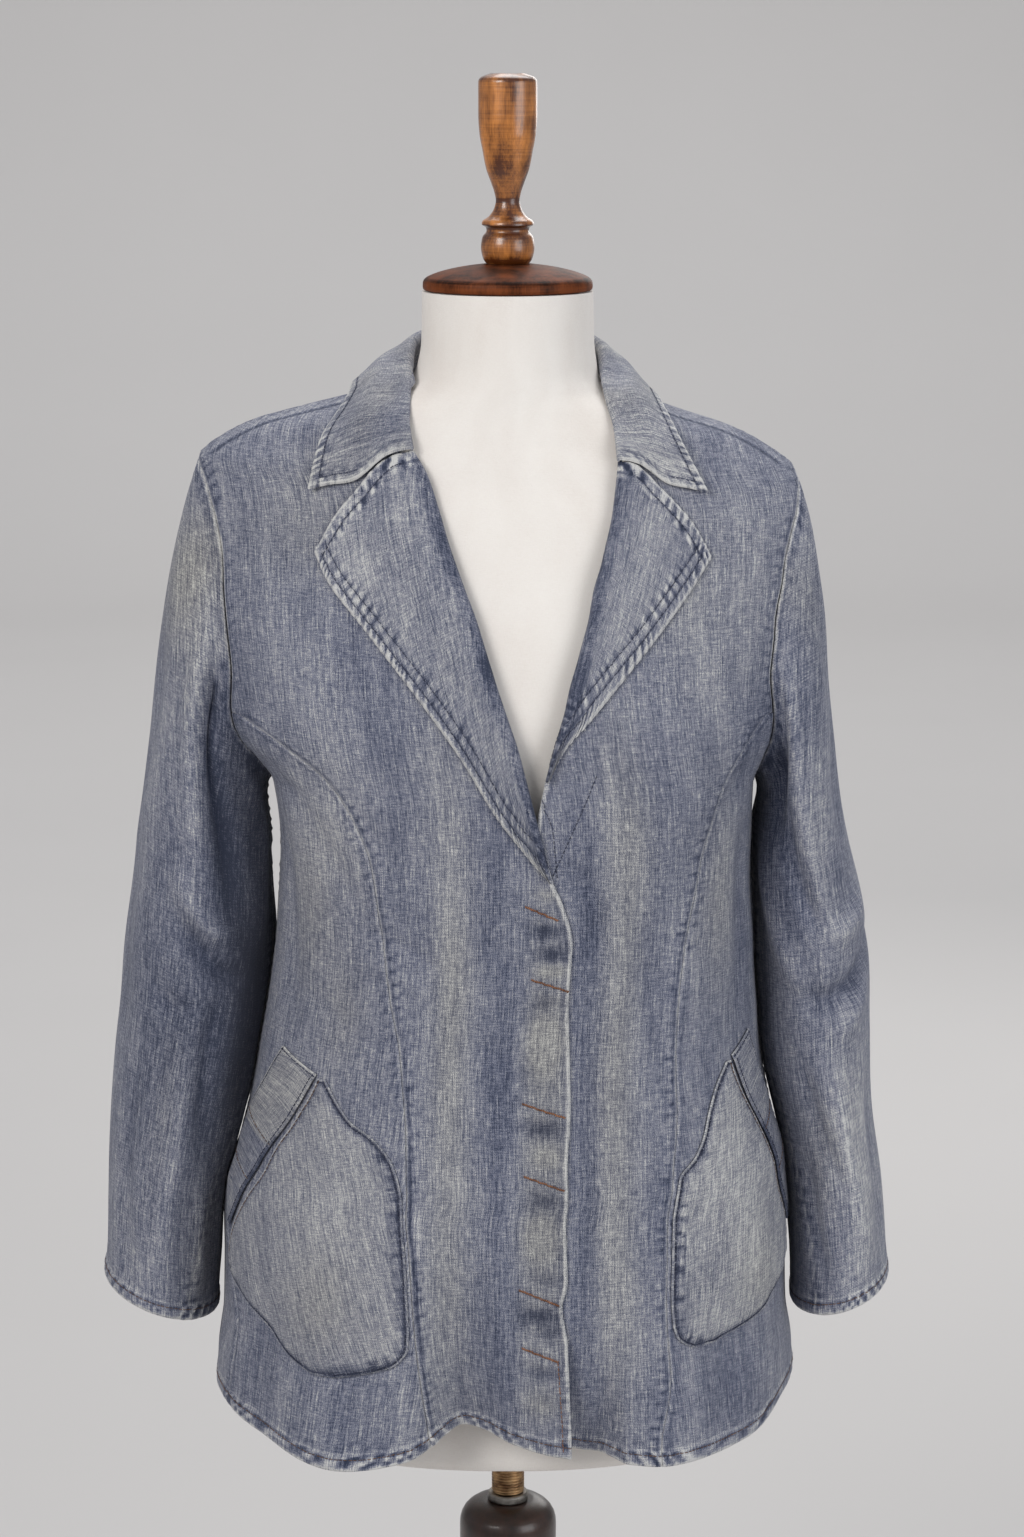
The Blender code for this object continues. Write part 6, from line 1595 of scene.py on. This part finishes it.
BRASS = worn_metal("dull brass", (0.16, 0.085, 0.045), (0.58, 0.38, 0.2), 0.36)
STEEL = worn_metal("dull steel", (0.14, 0.13, 0.12), (0.42, 0.4, 0.37), 0.38)


# --------------------------------------------------------- form and stand

RINGS = 84                 # sides of the turned pieces


def closed_rings(name, grid, finish, grain=None):
    """A tube of rings closed at both ends by rings that shrink to the middle."""
    def ends(ring, shares):
        return np.array([mix(ring.mean(axis=0), ring, share) for share in shares])

    points = np.concatenate([ends(grid[0], (0.004, 0.5, 0.98)), grid, ends(grid[-1], (0.98, 0.5, 0.004))])
    rows, columns = points.shape[:2]
    marks = {}
    if grain is not None:
        marks["grain"] = np.concatenate([grain[:1]] * 3 + [grain] + [grain[-1:]] * 3).reshape(-1, 3)
    number = np.arange(rows * columns).reshape(rows, columns)
    caps = []
    for loop in (number[0][::-1], number[-1]):
        left, right = loop[:columns // 2], loop[columns // 2:][::-1]
        caps.append(np.stack([left[:-1], left[1:], right[1:], right[:-1]], axis=-1))
    faces = np.concatenate([grid_faces(rows, columns, wraps=True), *caps])
    return mesh_piece(name, points.reshape(-1, 3), faces, finish, marks, 30.0)


def form():
    """Level sections of the covered form: superellipses read between the table's rows,
    closed by a tucked-in edge at the foot and a tight one under the neck cap."""
    own = FORM["height"]
    z = rising((own[0], 0.67, 0.0008), (0.67, 1.36, 0.006), (1.36, 1.46, 0.0022), (1.46, own[-1], 0.006))
    z = z[:, None]
    turn = np.arange(120) * 3.0 - 180.0
    centre = smooth(BODY, "centre_x", z) * ease(1.3, 1.38, z) * fade(1.42, 1.45, z)
    radius = superellipse(turn, *read(FORM, "half_width front back squareness squareness", z))
    grain = as_grain(np.radians(turn) * 0.14, z, 30)
    return closed_rings("form_cover", settle(at_turn(turn, radius, z, centre)), COTTON, grain)


def turned(name, profile, finish, step=0.001, sides=RINGS):
    """A profile's radius carried round the upright axis, read between its rows."""
    far = line_run(np.stack([profile["radius"], profile["height"]], axis=-1))
    at = np.linspace(0, far[-1], max(3, int(far[-1] / step)))[:, None]
    radius, height = read({"far": far, **profile}, "radius height", at)
    return closed_rings(name, at_turn(np.arange(sides) * 360.0 / sides, radius, height), finish)


THREAD_PITCH = 0.0022
THREAD_DEPTH = 0.0007


def threaded_rod(low, high):
    """A screw thread: radius = rod - depth * |wave| with a wave that climbs one pitch a turn."""
    turn = np.arange(40) * 9.0
    height = rising((low, high, THREAD_PITCH / 8))[:, None]
    groove = np.abs(2 * ((height / THREAD_PITCH - turn / 360.0) % 1.0) - 1) ** 1.3
    near_end = ease(low, low + 0.001, height) * fade(high - 0.001, high, height)
    radius = ROD_RADIUS - THREAD_DEPTH * mix(1.0, groove, near_end)
    return closed_rings("brass_rod", at_turn(turn, radius, height), BRASS)


def stand():
    """The turned pieces above and below the form, each in the place of its solid."""
    low = COLUMN["height"][-1] + GAP
    top = low + FERRULE_HEIGHT
    ferrule = table("radius height", [
        (FERRULE_RADIUS - 0.0004, low), (FERRULE_RADIUS, low + 0.0006),
        (FERRULE_RADIUS, top - 0.0014), (FERRULE_RADIUS - 0.001, top)])
    return {
        "neck_cap": turned("wooden_cap", NECK_CAP, DARK_WOOD),
        "finial": turned("turned_finial", FINIAL, GOLDEN_WOOD, 0.0011),
        "ferrule": turned("steel_ferrule", ferrule, STEEL, 0.0004),
        "threaded_rod": threaded_rod(top + GAP, FORM["height"][0] - GAP),
        "column": turned("turned_column", COLUMN, BLACK_WOOD, 0.004, 72),
        "base": turned("turned_base", BASE_PROFILE, BLACK_WOOD, 0.003, 128),
        "form_torso": form(),
    }


# ---------------------------------------------------------------- stitching

HEM_STITCH = 0.0083        # from the hem's edge
CUFF_STITCH = 0.0078


def on_panel(piece, *turns_and_heights):
    """A line through marks given by turn and height, laid on a finished piece."""
    marks = np.array(turns_and_heights, dtype=float)
    far = line_run(marks * (DEGREE, 1.0))
    at = np.linspace(0, far[-1], max(4, int(far[-1] / 0.0015)))
    return laid_on(piece, cloth(*(np.interp(at, far, column) for column in marks.T), 0.001))


def stitched(piece, side, inset, keep=(None, 0.0, 0.0), **kind):
    return thread(*line_in(piece, side, inset, keep), **kind)


def bar(piece, ax, ay, bx, by):
    """A short dense row of zigzag stitches, between two marks of turn and height."""
    line = on_panel(piece, (ax, ay), (bx, by))
    return thread(*line, pitch=0.00075, length=0.0019, radius=0.00036, sway=1.9, lift=0.0003)


def pocket_stitches(piece, left):
    """The outline, and the pale thread's row along the slanted opening."""
    columns = piece["outer"].shape[1]
    points, normals, loop = loop_line(piece["outer"], 0.0017, piece["normal"])
    opening = (loop % columns == (columns - 1 if left else 0)) & (points[:, 2] > OPENING_FOOT + 0.002)
    first = np.flatnonzero(opening & ~np.roll(opening, 1))[0]
    points, normals, opening = (np.roll(a, -first, axis=0) for a in (points, normals, opening))
    return (thread(points[opening], normals[opening], seed=3),
            thread(points[~opening], normals[~opening], pitch=0.003, length=0.0028, radius=0.00052, seed=4))


def body_stitches(grids):
    """Threads of each piece of the jacket: (name, thread, rows of stitches)."""
    sewing = {}
    for name in ("back", "front_right", "front_left", "side_front_right", "side_front_left"):
        sewing[name] = [("hem_stitches", BROWN_THREAD, [stitched(grids[name], "foot", HEM_STITCH, seed=5)])]
    right, left = grids["front_right"], grids["front_left"]
    bars = [bar(right, *row) for row in zip(*BARS.values())]
    bars.append(thread(*on_panel(right, (12.9, 0.7642), (13.4, 0.7302), (13.9, 0.7)), seed=7))
    sewing["front_right"].append(("front_bars", RUST_THREAD, bars))
    sewing["front_left"].append(("front_stitches", DARK_THREAD, [
        thread(*on_panel(left, (23.5, 1.1727), (19.2, 1.1525), (14.4, 1.1255), (9.7, 1.099)), seed=8),
        thread(*on_panel(left, (7.8, 1.157), (10.5, 1.1362), (11.1, 1.1151), (11.6, 1.101)), seed=9)]))
    for side, outside in (("right", "low"), ("left", "high")):
        name = "sleeve_" + side
        sewing[name] = [("cuff_stitches", BROWN_THREAD, [stitched(grids[name], "foot", CUFF_STITCH, seed=6)])]
        name = "lapel_" + side
        rows = [stitched(grids[name], outside, at, ("top", 0.006, 0.01), seed=10) for at in LAPEL_ROWS[name]]
        rows.append(stitched(grids[name], "top", GORGE_ROW, (outside, 0.006, 0.03), seed=11))
        sewing[name] = [("lapel_stitches", DARK_THREAD, rows)]
        name = "pocket_" + side
        opening, outline = pocket_stitches(grids[name], side == "left")
        sewing[name] = [("pocket_opening_stitches", BROWN_THREAD, [opening]),
                        ("pocket_outline_stitches", DARK_THREAD, [outline])]
        name = "pocket_band_" + side
        edges = ((outside, 0.0018, 14), (OPPOSITE[outside], 0.0022, 17), ("top", 0.0018, 15))
        rows = [stitched(grids[name], edge, inset, length=0.0031, radius=0.00042, seed=seed)
                for edge, inset, seed in edges]
        crossed = [stitched(grids[name], "top", crossing * BAND_LENGTH, seed=16)
                   for crossing in BAND_CROSSINGS]
        sewing[name] = [("band_stitches", DARK_THREAD, rows), ("band_cross_stitches", BROWN_THREAD, crossed)]
    piece = grids["collar"]
    rows = [stitched(piece, "foot", COLLAR_ROW, ("low", 0.006, 0.006), seed=12)]
    for side in ("low", "high"):
        rows.append(stitched(piece, side, COLLAR_END_ROW, ("foot", COLLAR_ROW, 0.045), seed=13))
    sewing["collar"] = [("collar_stitches", DARK_THREAD, rows)]
    return sewing


# ------------------------------------------------------------------- pieces

def pair(kind, maker, seed, right, left):
    """The right and the left piece of a kind, each with its own measures and seed."""
    made = {}
    for name, side, own in ((kind + "_right", -1, right), (kind + "_left", 1, left)):
        made[name] = maker(name, side, *own, seed + (side > 0))
    return made


def cloth_pieces_of_jacket():
    """Every cut piece of the jacket by its solid's name: the object and its grid."""
    pieces = body_panels()
    pieces |= pair("sleeve", sleeve, 21,
                   (RIGHT_SLEEVE, RIGHT_CUFF, RIGHT_HEAD, RIGHT_SLEEVE_FOLDS, RIGHT_SLEEVE_FADES_AND_SHADE),
                   (LEFT_SLEEVE, LEFT_CUFF, LEFT_HEAD, LEFT_SLEEVE_FOLDS, LEFT_SLEEVE_FADES_AND_SHADE))
    pieces |= pair("lapel", lapel, 31, (RIGHT_LAPEL, RIGHT_GORGE), (LEFT_LAPEL, LEFT_GORGE))
    pieces["collar"] = collar()
    pieces |= pair("pocket", pocket, 41, (RIGHT_POCKET,), (LEFT_POCKET,))
    pieces |= pair("pocket_band", pocket_band, 51, (RIGHT_BAND,), (LEFT_BAND,))
    return pieces


def dress():
    """Cloth, its threads and the stand, each in the place of its solid."""
    pieces = cloth_pieces_of_jacket()
    sewing = body_stitches({name: grid for name, (_, grid) in pieces.items()})
    for name, (piece, grid) in pieces.items():
        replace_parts(in_place(piece), name)
        own = [sewn(f"{name}_{kind}", rows, finish) for kind, finish, rows in sewing[name]]
    for name, piece in stand().items():
        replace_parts(in_place(piece), name)


# -------------------------------------------------------------------- stage

def backdrop():
    """A floor that curves up into a wall: a profile of level, quarter circle and upright
    carried straight across."""
    angle = np.radians(np.linspace(0, 90, 25))
    curve = np.stack([8.1 + 2 * np.sin(angle), 2 - 2 * np.cos(angle)], axis=-1)
    profile = np.concatenate([[[-14.0, 0.0], [8.0, 0.0]], curve, [[10.1, 9.0]]])
    deep, high = profile.T[..., None]
    grid = np.stack(np.broadcast_arrays(np.linspace(-16, 16, 3), deep, high), axis=-1)
    tree, looks = surface("pale paper", 0.9, Specular_IOR_Level=0.1)
    place = node(tree, "TexCoord").outputs["Object"]
    share = sum_of(tree, 0.5, (streaks(tree, place, (2.0, 2.0, 2.0)), 0.4))
    paper = looks(ramp(tree, share, [(0.0, (0.52, 0.507, 0.5)), (1.0, (0.56, 0.547, 0.54))]))
    mesh_piece("floor_and_wall", grid.reshape(-1, 3), grid_faces(len(profile), 3), paper)


def added(name, data, place):
    """A lamp or camera put into the scene."""
    thing = bpy.data.objects.new(name, data)
    thing.location = place
    bpy.context.scene.collection.objects.link(thing)
    return thing


def lamp(name, place, aim, size, power, colour):
    """A soft square lamp that faces a point."""
    light = bpy.data.lights.new(name, "AREA")
    light.size, light.energy, light.color = size, power, colour
    thing = added(name, light, place)
    thing.rotation_euler = (Vector(aim) - Vector(place)).to_track_quat("-Z", "Y").to_euler()


def studio():
    """The backdrop, five lamps and a pale room around them."""
    backdrop()
    lamp("key", (-1.7, -2.3, 2.7), (0, 0, 1.15), 1.3, 56, (1.0, 0.985, 0.96))
    lamp("fill", (2.3, -2.0, 1.7), (0, 0, 1.05), 1.8, 38, (0.96, 0.98, 1.0))
    lamp("top", (0.3, 0.9, 3.2), (0, 0, 1.2), 1.6, 26, (1.0, 1.0, 1.0))
    lamp("back", (1.2, 3.6, 2.3), (0, 0, 1.1), 1.8, 24, (1.0, 0.99, 0.97))
    lamp("wall", (0.0, 5.0, 7.0), (0, 10.1, 1.5), 6.0, 390, (1.0, 1.0, 1.0))
    scene = bpy.context.scene
    scene.world = scene.world or bpy.data.worlds.new("room")
    scene.world.use_nodes = True
    tree = scene.world.node_tree
    feed(tree, tree.nodes["Background"].inputs, {"Color": (0.86, 0.88, 0.92, 1.0), "Strength": 0.42})
    scene.view_settings.view_transform = "Standard"


def camera():
    """A long lens in front of the jacket, looking down by 11.3 degrees."""
    lens = bpy.data.cameras.new("camera")
    lens.lens, lens.sensor_width = 85, 36
    thing = added("camera", lens, (0.003, -2.55, 1.66))
    thing.rotation_euler = (np.radians(90 - 11.3), 0, 0)
    bpy.context.scene.camera = thing


camera()
studio()
dress()
